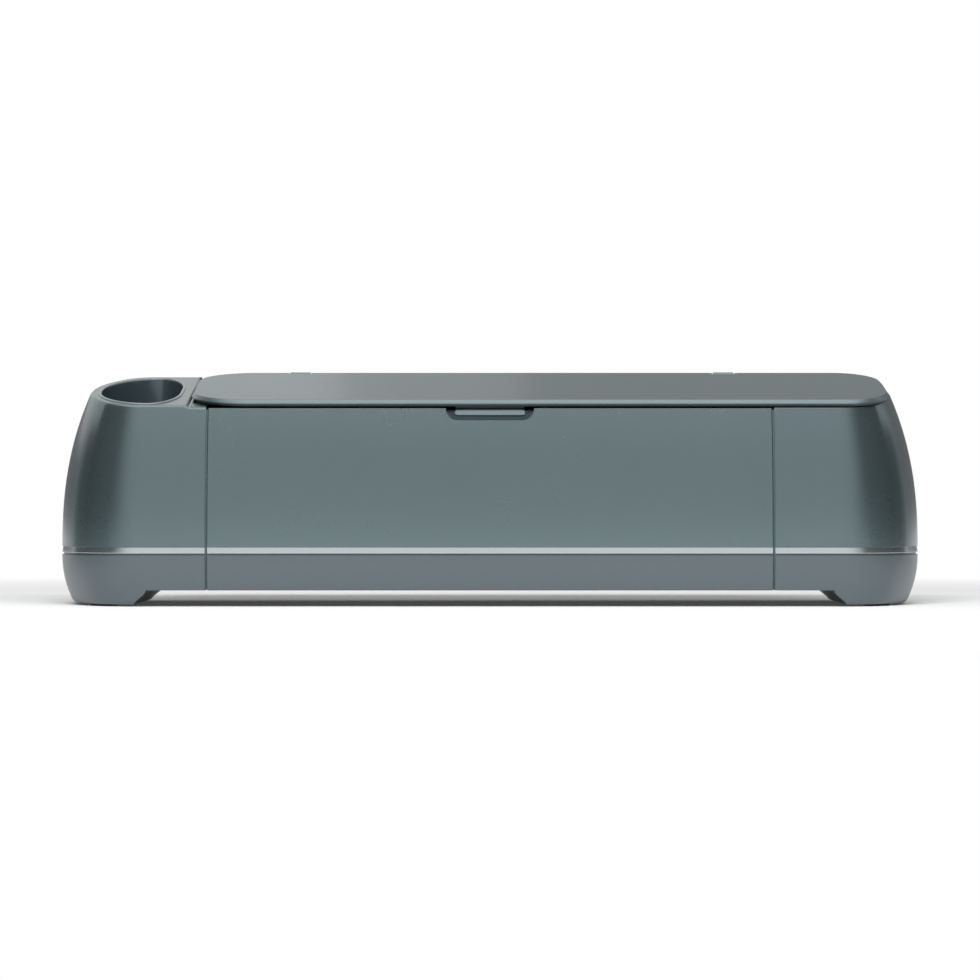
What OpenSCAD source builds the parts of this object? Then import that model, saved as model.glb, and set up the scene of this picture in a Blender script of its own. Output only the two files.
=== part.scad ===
// Electronic die cutting machine: casing with lifting lid and fold-down door, feed roller and tool carriage.
// Millimetres. +X right, the front faces -Y, +Z up, origin under the middle of the casing on the table.

/* [Casing] */
// Overall width of the casing at its waist
casing_w = 574; // [540:1:620]
// Overall depth of the casing at its waist
casing_d = 180; // [174:1:196]
// Plan radius of the casing corners at the waist
corner_r = 60; // [56:1:66]
// Height of the lid's top face above the table, in the middle of the depth
lid_mid_h = 147; // [145:0.5:156]
// Slope of the top, up towards the back, in degrees
top_slope = 8.78; // [8:0.1:9.2]
// How far the casing has drawn in just below its top
crown_inset = 20; // [16:0.5:22]
// How far the casing draws in from the waist down to the table
foot_inset = 8.5; // [5:0.5:10]
// Radius of the rounded edge under the feet
foot_edge_r = 4; // [2:0.5:5]
// Wall of the casing shells
wall = 2.6; // [2:0.1:3]
// Height of the underside of the belly above the table
belly_h = 10.7; // [9:0.1:12]
// Thickness of the belly plate
belly_t = 3; // [2.4:0.1:3.6]

/* [Waist band] */
// Height of the dark groove under the band
groove_z = 33.5; // [32:0.1:34.5]
// Height of the lower edge of the bright band
band_z = 35.6; // [35.2:0.1:36]
// Height of the upper edge of the bright band
band_top = 39; // [38.5:0.1:40]
// Depth of the groove under the band
groove_d = 1.2; // [0.8:0.1:1.6]

/* [Lid] */
// How far the lid reaches past the door's left end
lid_past_door = 15.4; // [14.4:0.2:18]
// Thickness of the lid panel at its edge
lid_t = 3.2; // [2.6:0.1:3.6]
// Plan radius of the lid corners
lid_r = 39; // [36:0.5:42]
// How far the lid's front edge lies behind the waist of the casing's front
lid_front_in = 14; // [13:0.5:15]
// How far the lid's rear edge lies before the waist of the casing's back
lid_back_in = 24.5; // [24:0.5:26]
// Thickness of the liner under the lid
liner_t = 2; // [1.6:0.1:2.4]
// Radius of the rolled rear edge that holds the lid hinge
hinge_roll_r = 3; // [2.8:0.1:3.2]
// Radius of the lid hinge pins
lid_pin_r = 1.4; // [1.2:0.1:1.6]

/* [Door] */
// Width of the door
door_w = 369.2; // [360:0.2:374]
// Gap between the door and the casing at each end
door_gap = 1.6; // [1.2:0.1:2]
// How far the door's top edge lies under the lid's top, in the middle of the depth
door_top_down = 17; // [16.5:0.1:19]
// Height of the door's hinge axis
door_axis_z = 21; // [20:0.5:22]
// How far the door's hinge axis lies behind the waist of the casing's front
door_axis_in = 16; // [15.5:0.1:16.5]
// Wall of the door's skin
door_skin_t = 2.4; // [2:0.1:2.8]
// How far the door's inner face lies behind the waist of the casing's front
door_inner_in = 26; // [25:0.1:26.4]
// Radius of the door hinge pins
door_pin_r = 3; // [2.5:0.1:3.4]
// Width of the finger notch at the door's top edge
notch_w = 58; // [50:1:64]
// Depth of the finger notch below the door's top edge
notch_h = 8.2; // [8:0.1:9]
// Depth of the storage trays
tray_d = 12; // [9:0.5:12.5]

/* [Tool cup] */
// Width of the deck between the cup's mouth and the door's seam
cup_seam_in = 24.3; // [23:0.1:25.5]
// Width from the cup's mouth to the casing's waist at the left end
cup_side_in = 30.5; // [29.5:0.1:33]
// Depth from each end of the cup's mouth to the casing's waist, on average
cup_end_in = 29; // [28:0.5:40]
// Depth of the cup below the deck
cup_depth = 62; // [50:1:66]
// Width of the cup's rim
cup_rim = 2.3; // [1.8:0.1:2.5]
// Wall of the cup
cup_t = 1.6; // [1.2:0.1:2]

/* [Feed] */
// Height of the feed roller's axis
roller_z = 29.5; // [29.3:0.1:30]
// Radius of the bare feed roller
roller_r = 6; // [5.5:0.1:6.2]
// Radius of the grit sleeves on the feed roller
sleeve_r = 7; // [6.6:0.1:7.2]
// Radius of the feed roller's journals
journal_r = 4; // [3.5:0.1:4.4]
// Radius of the pinch rollers
pinch_r = 5.5; // [5:0.1:6]
// Radius of the pinch shaft
pinch_shaft_r = 2.5; // [2:0.1:3]
// Tooth module of the feed gears
gear_mod = 1; // [0.95:0.01:1.02]
// Teeth on the roller gear
roller_teeth = 28; // [26:1:29]
// Teeth on the motor pinion
pinion_teeth = 12; // [12:1:14]
// Face width of the feed gears
gear_w = 8; // [6:0.5:9]

/* [Carriage] */
// How far the guide rod's axis lies under the lid's top, in the middle of the depth
rod_down = 35; // [34:0.5:37]
// Distance of the guide rod behind the middle of the depth
rod_y = 10; // [9:0.1:11]
// Radius of the guide rod
rod_r = 4; // [3.5:0.1:4.4]
// Width of the carriage body
carriage_w = 64; // [64:0.5:66]
// Distance of each tool from the carriage's middle
tool_dx = 16; // [15.8:0.1:16.4]
// Distance of the tools in front of the middle of the depth
tool_y = 22; // [21.5:0.1:23]
// Outer radius of the tool holders
holder_r = 12; // [11.6:0.1:12.2]
// Bore radius of the accessory clamp
bore_a_r = 5.8; // [5:0.1:7]
// Bore radius of the blade clamp
bore_b_r = 9.2; // [8.6:0.1:9.6]
// Travel of the tool slides
tool_travel = 7; // [5:0.5:7]

/* [Belt drive] */
// How far the belt's lower edge lies under the guide rod's axis
belt_down = 8.5; // [8:0.1:9.5]
// Width of the belt
belt_w = 6; // [5:0.5:6.5]
// Thickness of the belt
belt_t = 1.2; // [1:0.1:1.4]
// Radius of the belt's middle line on the pulleys
belt_r = 7; // [6.5:0.1:7.4]
// Distance of the belt loop's middle behind the middle of the depth
belt_y = 34; // [33.5:0.1:34.5]
// Distance of the drive pulley outside the right side frame
drive_out = 28; // [26:0.5:30]
// Side of the square motors
motor_s = 35; // [32:0.5:35]

/* [Buttons] */
// Distance of the button column outside the door's seam
button_out = 42.8; // [40:0.2:45]
// Radius of the small buttons
button_r = 6.5; // [6:0.1:7]
// Radius of the go button
go_r = 9; // [8:0.1:9.5]
// Travel of the buttons
button_travel = 1; // [0.6:0.1:1.2]

/* [Clearances] */
// Gap between pieces that move past each other
gap = 0.4; // [0.3:0.05:0.5]
// Radial clearance of a running shaft
run = 0.06; // [0.03:0.01:0.09]

/* [Hidden] */
$fn = 48;
half_w = casing_w / 2;
half_d = casing_d / 2;
crown_power = 2.4;
crown_ref_h = lid_mid_h - 4;
foot_power = 2.1;
waist_top = 37;
waist_low = 33;
pad_seat_z = 1.2;
slope_run = tan(top_slope);
deck_drop = 3.6;
rim_drop = lid_t + 1.8;
roof_drop = rim_drop + 2.6;
seam_x = door_w / 2 + door_gap;
door_top = lid_mid_h - door_top_down;
door_axis_y = half_d - door_axis_in;
door_inner_y = half_d - door_inner_in;
tray_w = door_w / 2 - 34.6;
lid_left = door_w / 2 + lid_past_door;
lid_front = half_d - lid_front_in;
lid_back = half_d - lid_back_in;
cup_w = half_w - seam_x - cup_seam_in - cup_side_in;
cup_l = casing_d - 2 * cup_end_in;
cup_r = cup_w / 2 - 2;
cup_x = seam_x + cup_seam_in + cup_w / 2;
rod_z = lid_mid_h - rod_down;
belt_z = rod_z - belt_down;
side_wall_x = seam_x + wall;
frame_t = 3;
frame_x = side_wall_x + 0.2;
frame_out = frame_x + frame_t;
drive_x = frame_out + drive_out;
button_x = seam_x + button_out;
base_front = door_axis_y - 11.5;
belly_top = belly_h + belly_t;
cup_mid_y = -7.5;
cup_floor_z = lid_mid_h - deck_drop - cup_depth + cup_t;
arch_top_x = 225;
arch_low_x = 234;
mat_z = roller_z + sleeve_r;
platen_t = mat_z - 0.5 - groove_z;
platen_half = frame_x - 0.1;
groove_step = 20;
guide_y = 20.5 - base_front;
slot_half = seam_x - 14.2;
sleeve_x = slot_half - 28;
slot_top = mat_z + 9.5;
pinch_z = mat_z + gap + pinch_r;
lid_axis_y = lid_back - hinge_roll_r;
lid_axis_z = lid_mid_h + lid_axis_y * slope_run - hinge_roll_r / cos(top_slope);
lid_right = half_w - inset(door_top + 3) - 1.2;
lip_w = 45.6;
lip_back = 4.6;
lid_gap_in = 7;
gear_centre = gear_mod * (roller_teeth + pinion_teeth) / 2 + 0.12;
pinion_dir = 45;
pinion_y = gear_centre * cos(pinion_dir);
pinion_z = roller_z + gear_centre * sin(pinion_dir);
gear_x = frame_out + 2.3;
bracket_x = gear_x + gear_w + 1;
bracket_t = 3;
motor_x = bracket_x + bracket_t;
rail_y0 = 24;
rail_y1 = 44;
rail_z1 = belt_z - 9.5;
rail_z0 = rail_z1 - 18;
frame_top = rod_z + 10;
frame_y0 = 44 - half_d;
frame_y1 = half_d - 32;
carriage_back = rail_y0 - gap;
carriage_front = -6;
slide_back = carriage_front - gap;
slide_t = 4;
slide_front = slide_back - slide_t;
ring_z0 = rod_z - 46;
ring_z1 = ring_z0 + 14;
lever_z = ring_z1 + 4;
slide_z0 = rod_z - 52;
slide_z1 = rod_z - 4;
cheek_t = 1.6;
tip_z = mat_z + tool_travel + 0.8;
button_y = [-38, -18, 2, 24];
panel_x0 = button_x - 24;
panel_x1 = button_x + 24;
panel_y0 = button_y[0] - 14;
panel_y1 = button_y[3] + 15;
panel_r = 8;
foot_x = 255;
foot_y = 53;
foot_pad_r = 9;
port_w = 32;
port_h = 26;
port_x = seam_x + wall + 2 + port_w / 2;
inlet_x = port_x - 8;
socket_x = port_x + 8;
port_low = band_top + 7;
port_z = port_low + port_h / 2;
port_back = half_d - inset(port_low + port_h) - wall;
board_y = half_d - 20;
board_w = half_w - frame_out - 37;
board_top = rod_z - 12;
shelf_z = belt_z - 7;
idler_x = seam_x - 12.2;
hinge_xs = [56.2 - seam_x, seam_x - 26.2];
hinge_ear_w = 14;

body_grey = "#6a7a7e";
deep_grey = "#4a585c";
silver = "#b9c6cb";
steel = "#9aa0a4";
dark = "#2b3032";

// ---- casing form ----

// How far the casing's skin lies inside its waist outline at height z, with a rounded lower edge
function inset(z) =
  z > waist_top ? crown_inset * pow((z - waist_top) / (crown_ref_h - waist_top), crown_power)
  : z < waist_low ? foot_inset * pow((waist_low - z) / waist_low, foot_power)
    + foot_edge_r * (1 - sqrt(1 - pow(max(0, 1 - z / foot_edge_r), 2)))
  : 0;

// Heights from z0 to z1: every 10 mm, and closer together round the lower edge
function heights(z0, z1) = concat([z0],
  [for (z = concat([1.9, 2.8, 4, 8, 13, 18, 23, 28], [for (i = [3:17]) 10 * i + 3]))
    if (z > z0 + 0.3 && z < z1 - 0.3) z],
  [z1]);

// A block with rounded plan corners and a profile of [inset, height] points up its sides
module profiled_block(x0, x1, y0, y1, r, profile) {
  n = len(profile);
  low = profile[0][1];
  high = profile[n - 1][1];
  rotate([90, 0, 90]) translate([0, 0, x0 + r]) linear_extrude(x1 - x0 - 2 * r)
    polygon(concat([for (p = profile) [y0 + p[0], p[1]]],
      [for (i = [1:n]) [y1 - profile[n - i][0], profile[n - i][1]]]));
  for (side = [0, 1])
    translate([side == 0 ? x0 + r : x1 - r, (y0 + y1) / 2, 0]) mirror([1 - side, 0, 0])
      rotate([90, 0, 0]) linear_extrude(y1 - y0 - 2 * r, center = true)
        polygon(concat([for (p = profile) [r - p[0], p[1]]], [[0, high], [0, low]]));
  for (corner = [0:3])
    translate([corner == 0 || corner == 3 ? x1 - r : x0 + r, corner < 2 ? y1 - r : y0 + r, 0])
      rotate([0, 0, 90 * corner]) rotate_extrude(angle = 90)
        polygon(concat([for (p = profile) [r - p[0], p[1]]], [[0, high], [0, low]]));
}

// A plain block with rounded plan corners
module rounded_block(x0, x1, y0, y1, r, z0, z1) {
  profiled_block(x0, x1, y0, y1, r, [[0, z0], [0, z1]]);
}

// The casing's form between two heights, drawn in evenly by extra
module casing_form(z0, z1, extra = 0) {
  profiled_block(-half_w, half_w, -half_d, half_d, corner_r,
    [for (z = heights(z0, z1)) [inset(z) + extra, z]]);
}

// A box given by its low and high corners
module span_box(low, high) {
  translate(low) cube(high - low);
}

// Places children in the lid's sloping frame, drop mm under its top face
module sloped(drop = 0) {
  translate([0, 0, lid_mid_h]) rotate([top_slope, 0, 0]) translate([0, 0, -drop]) children();
}

// Everything above the sloping plane that lies drop under the lid's top, between x0 and x1
module above_slope(drop, x0, x1, y0 = -120, y1 = 120) {
  intersection() {
    sloped(drop * cos(top_slope)) span_box([x0, -160, 0], [x1, 160, 90]);
    span_box([x0, y0, 60], [x1, y1, 260]);
  }
}

// A cylinder along X from x0 to x1
module rod_x(x0, x1, y, z, r) {
  translate([x0, y, z]) rotate([0, 90, 0]) cylinder(r = r, h = x1 - x0);
}

// A cylinder up Z
module post(x, y, z0, z1, r) {
  translate([x, y, z0]) cylinder(r = r, h = z1 - z0);
}

// ---- casing ----

// The arch between the feet, with sides that swing out towards the table
module foot_arch() {
  steps = 6;
  side = [for (i = [0:steps]) let (t = i / steps, ease = t * t * (3 - 2 * t))
    [arch_low_x + (arch_top_x - arch_low_x) * ease, belly_h * t]];
  rotate([90, 0, 0]) linear_extrude(casing_d + 20, center = true)
    polygon(concat([[arch_low_x, -1]], side,
      [for (i = [0:steps]) [-side[steps - i][0], side[steps - i][1]]], [[-arch_low_x, -1]]));
}

module base_pan() color(body_grey) {
  difference() {
    casing_form(pad_seat_z, groove_z);
    foot_arch();
    difference() {
      casing_form(pad_seat_z + wall, groove_z + 1, wall);
      span_box([-arch_low_x - wall, -half_d - 1, 0], [arch_low_x + wall, half_d + 1, belly_top]);
      span_box([-side_wall_x, -half_d, 0], [side_wall_x, -base_front + wall, groove_z + 2]);
    }
    span_box([-seam_x, -half_d - 1, 0], [seam_x, -base_front, groove_z + 1]);
    for (side = [-1, 1]) {
      rod_x(side * (seam_x + 5) - 8, side * (seam_x + 5) + 8,
        -door_axis_y, door_axis_z, door_pin_r + run);
      for (end = [-1, 1]) post(side * foot_x, end * foot_y, 0, pad_seat_z + 1.6, foot_pad_r + 0.1);
      for (end = [-1, 1]) post(side * (foot_x - 4), end * 20, 0, pad_seat_z + wall + 1, 2);
    }
  }
}

// The band right round the waist, with the groove under it
module band_form() {
  profiled_block(-half_w, half_w, -half_d, half_d, corner_r,
    [[groove_d, groove_z], [groove_d, band_z - 0.3], [0, band_z], [0, band_top - 0.4], [0.4, band_top]]);
}

module waist_band() color(silver) {
  difference() {
    band_form();
    casing_form(groove_z - 1, band_top + 1, wall + 0.6);
    span_box([-seam_x, -half_d - 1, 0], [seam_x, 0, 60]);
    span_box([-slot_half, 0, 0], [slot_half, half_d + 1, 60]);
  }
}

// Holes that the shafts, the rail and the belt pass through in the casing's side walls
module side_wall_holes(side) {
  x0 = side * (side_wall_x - wall / 2) - 4;
  x1 = x0 + 8;
  span_box([x0, -8, band_top - 1], [x1, 8, pinch_z + pinch_shaft_r + 3]);
  span_box([x0, rail_y0 - 1, rail_z0 - 1], [x1, rail_y1 + 1, rail_z1 + 1]);
  span_box([x0, belt_y - belt_r - 3, belt_z - 2], [x1, belt_y + belt_r + 3, belt_z + belt_w + 2]);
  rod_x(x0, x1, rod_y, rod_z, rod_r + 1);
}

// The tool cup's mouth grown by edge, between two heights
module cup_room(edge, z0, z1) {
  translate([-cup_x, cup_mid_y, 0])
    rounded_block(-cup_w / 2 - edge, cup_w / 2 + edge, -cup_l / 2 - edge, cup_l / 2 + edge,
      cup_r + edge, z0, z1);
}

module left_cover() color(body_grey) {
  step_x = -lid_left + 2;
  difference() {
    casing_form(band_top, lid_mid_h + 22);
    span_box([-seam_x, -200, 0], [400, 200, 300]);
    above_slope(deck_drop, -half_w - 10, -seam_x + 3);
    above_slope(rim_drop, step_x, -seam_x + 2, -121, 121);
    above_slope(roof_drop, step_x + 1.5, -seam_x + 1, -half_d + inset(door_top) + wall, 122);
    difference() {
      casing_form(band_top - 1, lid_mid_h + 23, wall);
      span_box([-side_wall_x, -200, 0], [400, 200, 300]);
      above_slope(deck_drop + wall, -half_w - 10, -seam_x + 4);
      above_slope(roof_drop + wall, step_x - wall, -seam_x + 5, -121, 121);
    }
    cup_room(cup_t + 0.1, 100, 200);
    side_wall_holes(-1);
  }
}

// The button panel's outline grown by edge, between two heights of its sloping frame
module panel_block(edge, z0, z1) {
  rounded_block(panel_x0 - edge, panel_x1 + edge, panel_y0 - edge, panel_y1 + edge, panel_r + edge, z0, z1);
}

module right_cover() color(body_grey) {
  difference() {
    casing_form(band_top, lid_mid_h + 22);
    span_box([-400, -200, 0], [seam_x, 200, 300]);
    above_slope(rim_drop, seam_x - 1, half_w + 10);
    difference() {
      above_slope(roof_drop, seam_x - 1, half_w + 10);
      difference() {
        casing_form(band_top + 1, lid_mid_h + 23);
        casing_form(band_top, lid_mid_h + 24, wall);
        span_box([-half_w, lid_axis_y - 8, 0], [half_w, 200, 300]);
      }
    }
    difference() {
      casing_form(band_top - 1, lid_mid_h + 23, wall);
      span_box([-400, -200, 0], [side_wall_x, 200, 300]);
      above_slope(roof_drop + wall, 0, half_w + 10);
    }
    sloped(roof_drop) panel_block(0.15, -10, 10);
    span_box([port_x - port_w / 2, half_d - 12, port_low],
      [port_x + port_w / 2, half_d + 5, port_low + port_h]);
    side_wall_holes(1);
  }
}

module rear_cover() color(body_grey) {
  difference() {
    casing_form(band_top, lid_mid_h + 22);
    span_box([-400, -200, 0], [-seam_x, 200, 300]);
    span_box([seam_x, -200, 0], [400, 200, 300]);
    span_box([-400, -200, 0], [400, rail_y1 + 8, 300]);
    above_slope(roof_drop, -seam_x - 1, seam_x + 1);
    difference() {
      casing_form(band_top - 1, lid_mid_h + 23, wall);
      above_slope(roof_drop + wall, -seam_x, seam_x);
    }
    span_box([-slot_half, 0, 0], [slot_half, half_d + 1, slot_top]);
  }
  for (x = hinge_xs) lid_hinge_ear(x);
}

// An ear that stands in a notch of the lid's rolled edge and holds the hinge pin
module lid_hinge_ear(x) {
  difference() {
    union() {
      rod_x(x - hinge_ear_w / 2, x + hinge_ear_w / 2, lid_axis_y, lid_axis_z, hinge_roll_r);
      span_box([x - hinge_ear_w / 2, lid_axis_y - 2, lid_axis_z - 6],
        [x + hinge_ear_w / 2, lid_axis_y + 2, lid_axis_z]);
    }
    rod_x(x - hinge_ear_w, x + hinge_ear_w, lid_axis_y, lid_axis_z, lid_pin_r + 0.02);
    sloped(roof_drop) translate([x, 0, -20]) cube([60, 300, 40], center = true);
  }
}

module tool_cup() color(deep_grey) {
  x0 = -cup_x - cup_w / 2 - cup_rim;
  x1 = -cup_x + cup_w / 2 + cup_rim;
  y0 = cup_mid_y - cup_l / 2 - cup_rim;
  y1 = cup_mid_y + cup_l / 2 + cup_rim;
  difference() {
    union() {
      intersection() {
        cup_room(cup_t, cup_floor_z - cup_t, 180);
        difference() {
          span_box([-400, -200, 0], [0, 200, 300]);
          above_slope(deck_drop, -400, 0);
        }
      }
      sloped(deck_drop * cos(top_slope))
        profiled_block(x0, x1, y0, y1, cup_r + cup_rim, [[0, 0], [0, 0.4], [0.4, 0.8]]);
    }
    cup_room(0, cup_floor_z, 190);
  }
}

module cup_liner() color(dark) cup_room(-0.5, cup_floor_z, cup_floor_z + 2);

module rubber_feet() color(dark) {
  for (side = [-1, 1], end = [-1, 1]) post(side * foot_x, end * foot_y, 0, pad_seat_z + 1.5, foot_pad_r);
}

module casing_screws() color(steel) {
  for (side = [-1, 1], end = [-1, 1]) {
    post(side * (foot_x - 4), end * 20, pad_seat_z + wall + 1, pad_seat_z + wall + 3, 3.4);
    post(side * (foot_x - 4), end * 20, pad_seat_z, pad_seat_z + wall + 1, 1.9);
  }
  for (side = [-1, 1], z = [60, 70])
    rod_x(side * (frame_out + 1) - 1, side * (frame_out + 1) + 1, rail_y0 + 10, z, 3);
}

// ---- controls under the lid ----

module button_panel() color(dark) {
  sloped(roof_drop) difference() {
    union() {
      panel_block(0, -wall, 0);
      panel_block(2, -wall - 1.4, -wall);
    }
    for (i = [0:3]) post(button_x, button_y[i], -10, 5, (i == 3 ? go_r : button_r) + 0.3);
    rounded_block(panel_x0 + 5, panel_x0 + 10, button_y[0], button_y[3], 2.4, -1, 5);
  }
}

module status_light() color("#dfe8ea", 0.8) sloped(roof_drop)
  rounded_block(panel_x0 + 5.1, panel_x0 + 9.9, button_y[0] + 0.1, button_y[3] - 0.1, 2.3, -1, 0.3);

module button_board() color("#2f5b3a") {
  sloped(roof_drop) {
    rounded_block(panel_x0 + 2, panel_x1 - 2, panel_y0 + 2, panel_y1 - 2, 3, -wall - 9, -wall - 7.4);
    for (i = [0:3]) translate([button_x, button_y[i], -wall - 6.4]) cube([6, 6, 2], center = true);
    for (x = [panel_x0 + 4.5, panel_x1 - 4.5], y = [panel_y0 + 5, panel_y1 - 5])
      post(x, y, -wall - 7.4, -wall - 1.4, 2);
  }
}

module push_button(y, r) {
  flange_top = -wall - 1.9;
  sloped(roof_drop) {
    translate([button_x, y, 0]) rotate_extrude()
      polygon([[0, flange_top], [r, flange_top], [r, 0.7], [r - 0.5, 1.2], [0, 1.2]]);
    post(button_x, y, -wall - 3, flange_top, r + 1.2);
    post(button_x, y, -wall - 5.4 + button_travel + gap, -wall - 3, 2);
  }
}

module power_button() color(silver) push_button(button_y[0], button_r);
module load_button() color(silver) push_button(button_y[1], button_r);
module pause_button() color(silver) push_button(button_y[2], button_r);
module go_button() color("#6fb7a6") push_button(button_y[3], go_r);

// ---- rear ports and electronics ----

module port_plate() color(dark) {
  difference() {
    span_box([port_x - port_w / 2 + 0.1, port_back - 0.4, port_low + 0.1],
      [port_x + port_w / 2 - 0.1, port_back + 1.6, port_low + port_h - 0.1]);
    translate([inlet_x, half_d, port_z]) rotate([90, 0, 0]) cylinder(r = 5.3, h = 30);
    span_box([socket_x - 6.3, 0, port_z - 5.8], [socket_x + 6.3, half_d + 5, port_z + 5.8]);
  }
}

module power_inlet() color("#1c1e1f") {
  back = port_back + 1.8;
  difference() {
    union() {
      translate([inlet_x, back, port_z]) rotate([90, 0, 0]) cylinder(r = 5.2, h = 8);
      span_box([inlet_x - 6, board_y + 1.6, port_z - 6], [inlet_x + 6, back - 8, port_z + 6]);
    }
    translate([inlet_x, back + 1, port_z]) rotate([90, 0, 0]) cylinder(r = 3.2, h = 10);
  }
}

module data_socket() color(steel) {
  back = port_back + 1;
  difference() {
    span_box([socket_x - 6, board_y + 1.6, port_z - 5.5], [socket_x + 6, back, port_z + 5.5]);
    span_box([socket_x - 4.5, back - 8, port_z - 4], [socket_x + 4.5, back + 1, port_z + 4]);
  }
}

module control_board() color("#2f5b3a") {
  x0 = frame_out + 4;
  difference() {
    span_box([x0, board_y, belly_top + 0.2], [x0 + board_w, board_y + 1.6, board_top]);
    for (x = [x0 + 4, x0 + board_w - 4], z = [belly_top + 12, board_top - 4])
      translate([x, board_y, z]) rotate([90, 0, 0]) cylinder(r = 1.6, h = 10, center = true);
  }
  for (x = [x0 + 8, x0 + 24, x0 + 40])
    span_box([x, board_y - 2.4, board_top - 26], [x + 10, board_y, board_top - 16]);
  for (i = [0:3])
    translate([x0 + 10 + i * 12, board_y, belly_top + 20.3]) rotate([90, 0, 0]) cylinder(r = 4, h = 11);
}

// ---- frames ----

// A steel side plate in the Y-Z plane with its holes, folded foot included
module side_frame(side) {
  x0 = side > 0 ? frame_x : -frame_out;
  difference() {
    union() {
      span_box([x0, frame_y0, belly_top], [x0 + frame_t, frame_y1, frame_top]);
      span_box([side > 0 ? x0 : x0 - 12, frame_y0, belly_top],
        [side > 0 ? x0 + frame_t + 12 : x0 + frame_t, frame_y0 + 26, belly_top + 2]);
    }
    rod_x(x0 - 1, x0 + frame_t + 1, rod_y, rod_z, rod_r + 0.02);
    rod_x(x0 - 1, x0 + frame_t + 1, 0, roller_z, journal_r + 3.05);
    rod_x(x0 - 1, x0 + frame_t + 1, 0, pinch_z, pinch_shaft_r + run);
    span_box([x0 - 1, belt_y - belt_r - 3, belt_z - 2],
      [x0 + frame_t + 1, belt_y + belt_r + 3, belt_z + belt_w + 2]);
    span_box([x0 - 1, frame_y0 + 10, rod_z - 56], [x0 + frame_t + 1, frame_y0 + 34, rod_z - 12]);
    rod_x(x0 - 1, x0 + frame_t + 1, rail_y0 + 10, rail_z0 - 28, 7);
  }
}

module left_frame() color(steel) side_frame(-1);
module right_frame() color(steel) side_frame(1);

// Shallow grooves that run front to back in a platen's top
module platen_grooves(y0, y1) {
  steps = floor(sleeve_x / groove_step + 1);
  for (i = [-steps:steps])
    span_box([i * groove_step - 0.6, y0, groove_z + platen_t - 0.5], [i * groove_step + 0.6, y1, 60]);
}

module front_platen() color(deep_grey) {
  difference() {
    span_box([-platen_half, -base_front, groove_z], [platen_half, -sleeve_r - 1, groove_z + platen_t]);
    for (side = [-1, 1])
      span_box([side > 0 ? seam_x : -platen_half - 1, -base_front - 1, 0],
        [side > 0 ? platen_half + 1 : -seam_x, -base_front + wall + 0.2, 60]);
    platen_grooves(-base_front + 8, -sleeve_r - 6);
  }
}

module rear_platen() color(deep_grey) {
  difference() {
    span_box([-platen_half, sleeve_r + 1, groove_z], [platen_half, half_d - 1.2, groove_z + platen_t]);
    for (side = [-1, 1])
      span_box([side > 0 ? slot_half - 0.2 : -platen_half - 1, half_d - wall - 1.2, 0],
        [side > 0 ? platen_half + 1 : -slot_half + 0.2, half_d, 60]);
    platen_grooves(sleeve_r + 6, half_d - 10);
  }
}

module mat_guides() color(dark) {
  for (side = [-1, 1]) mirror([side < 0 ? 1 : 0, 0, 0]) {
    span_box([slot_half - 4, guide_y - 14, groove_z + platen_t], [slot_half + 4, guide_y + 14, mat_z + 7]);
    span_box([slot_half - 12, guide_y - 10, mat_z + 5], [slot_half - 4, guide_y + 10, mat_z + 7]);
  }
}

module roller_bearings() color("#b08d57") {
  for (x = [-frame_x - frame_t / 2, frame_x + frame_t / 2]) difference() {
    rod_x(x - 2.4, x + 2.4, 0, roller_z, journal_r + 3);
    rod_x(x - 5, x + 5, 0, roller_z, journal_r + run);
  }
}

module carriage_rail() color("#aab0b4") {
  rotate([90, 0, 90]) translate([0, 0, -frame_x]) linear_extrude(2 * frame_x) difference() {
    translate([rail_y0, rail_z0]) square([rail_y1 - rail_y0, rail_z1 - rail_z0]);
    translate([rail_y0 + 3, rail_z0 + 3]) square([rail_y1 - rail_y0 - 6, rail_z1 - rail_z0 - 6]);
    polygon([[rail_y0 - 1, rail_z0 + 7], [rail_y0 + 1.5, rail_z0 + 9], [rail_y0 - 1, rail_z0 + 11]]);
  }
}

module guide_rod() color("#c8ccce") {
  rod_x(-frame_out - 2, frame_out + 2, rod_y, rod_z, rod_r);
}

module idler_bracket() color(steel) {
  translate([-idler_x, belt_y, 0]) {
    difference() {
      span_box([-9, -7, rail_z1], [5, 7, rail_z1 + 4]);
      span_box([-10, -4, rail_z1 + 3], [-5, 4, rail_z1 + 5]);
    }
    post(0, 0, rail_z1 + 4, belt_z + belt_w + 3.5, 2);
  }
}

// ---- belt drive ----

// A ring along X round the two pulley axes, inner and outer radius given
module belt_ring(r_in, r_out) {
  difference() {
    union() {
      post(-idler_x, belt_y, belt_z, belt_z + belt_w, r_out);
      post(drive_x, belt_y, belt_z, belt_z + belt_w, r_out);
      span_box([-idler_x, belt_y - r_out, belt_z], [drive_x, belt_y + r_out, belt_z + belt_w]);
    }
    post(-idler_x, belt_y, belt_z - 1, belt_z + belt_w + 1, r_in);
    post(drive_x, belt_y, belt_z - 1, belt_z + belt_w + 1, r_in);
    span_box([-idler_x, belt_y - r_in, belt_z - 1], [drive_x, belt_y + r_in, belt_z + belt_w + 1]);
  }
}

module drive_belt() color(dark) belt_ring(belt_r - belt_t / 2, belt_r + belt_t / 2);

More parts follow.
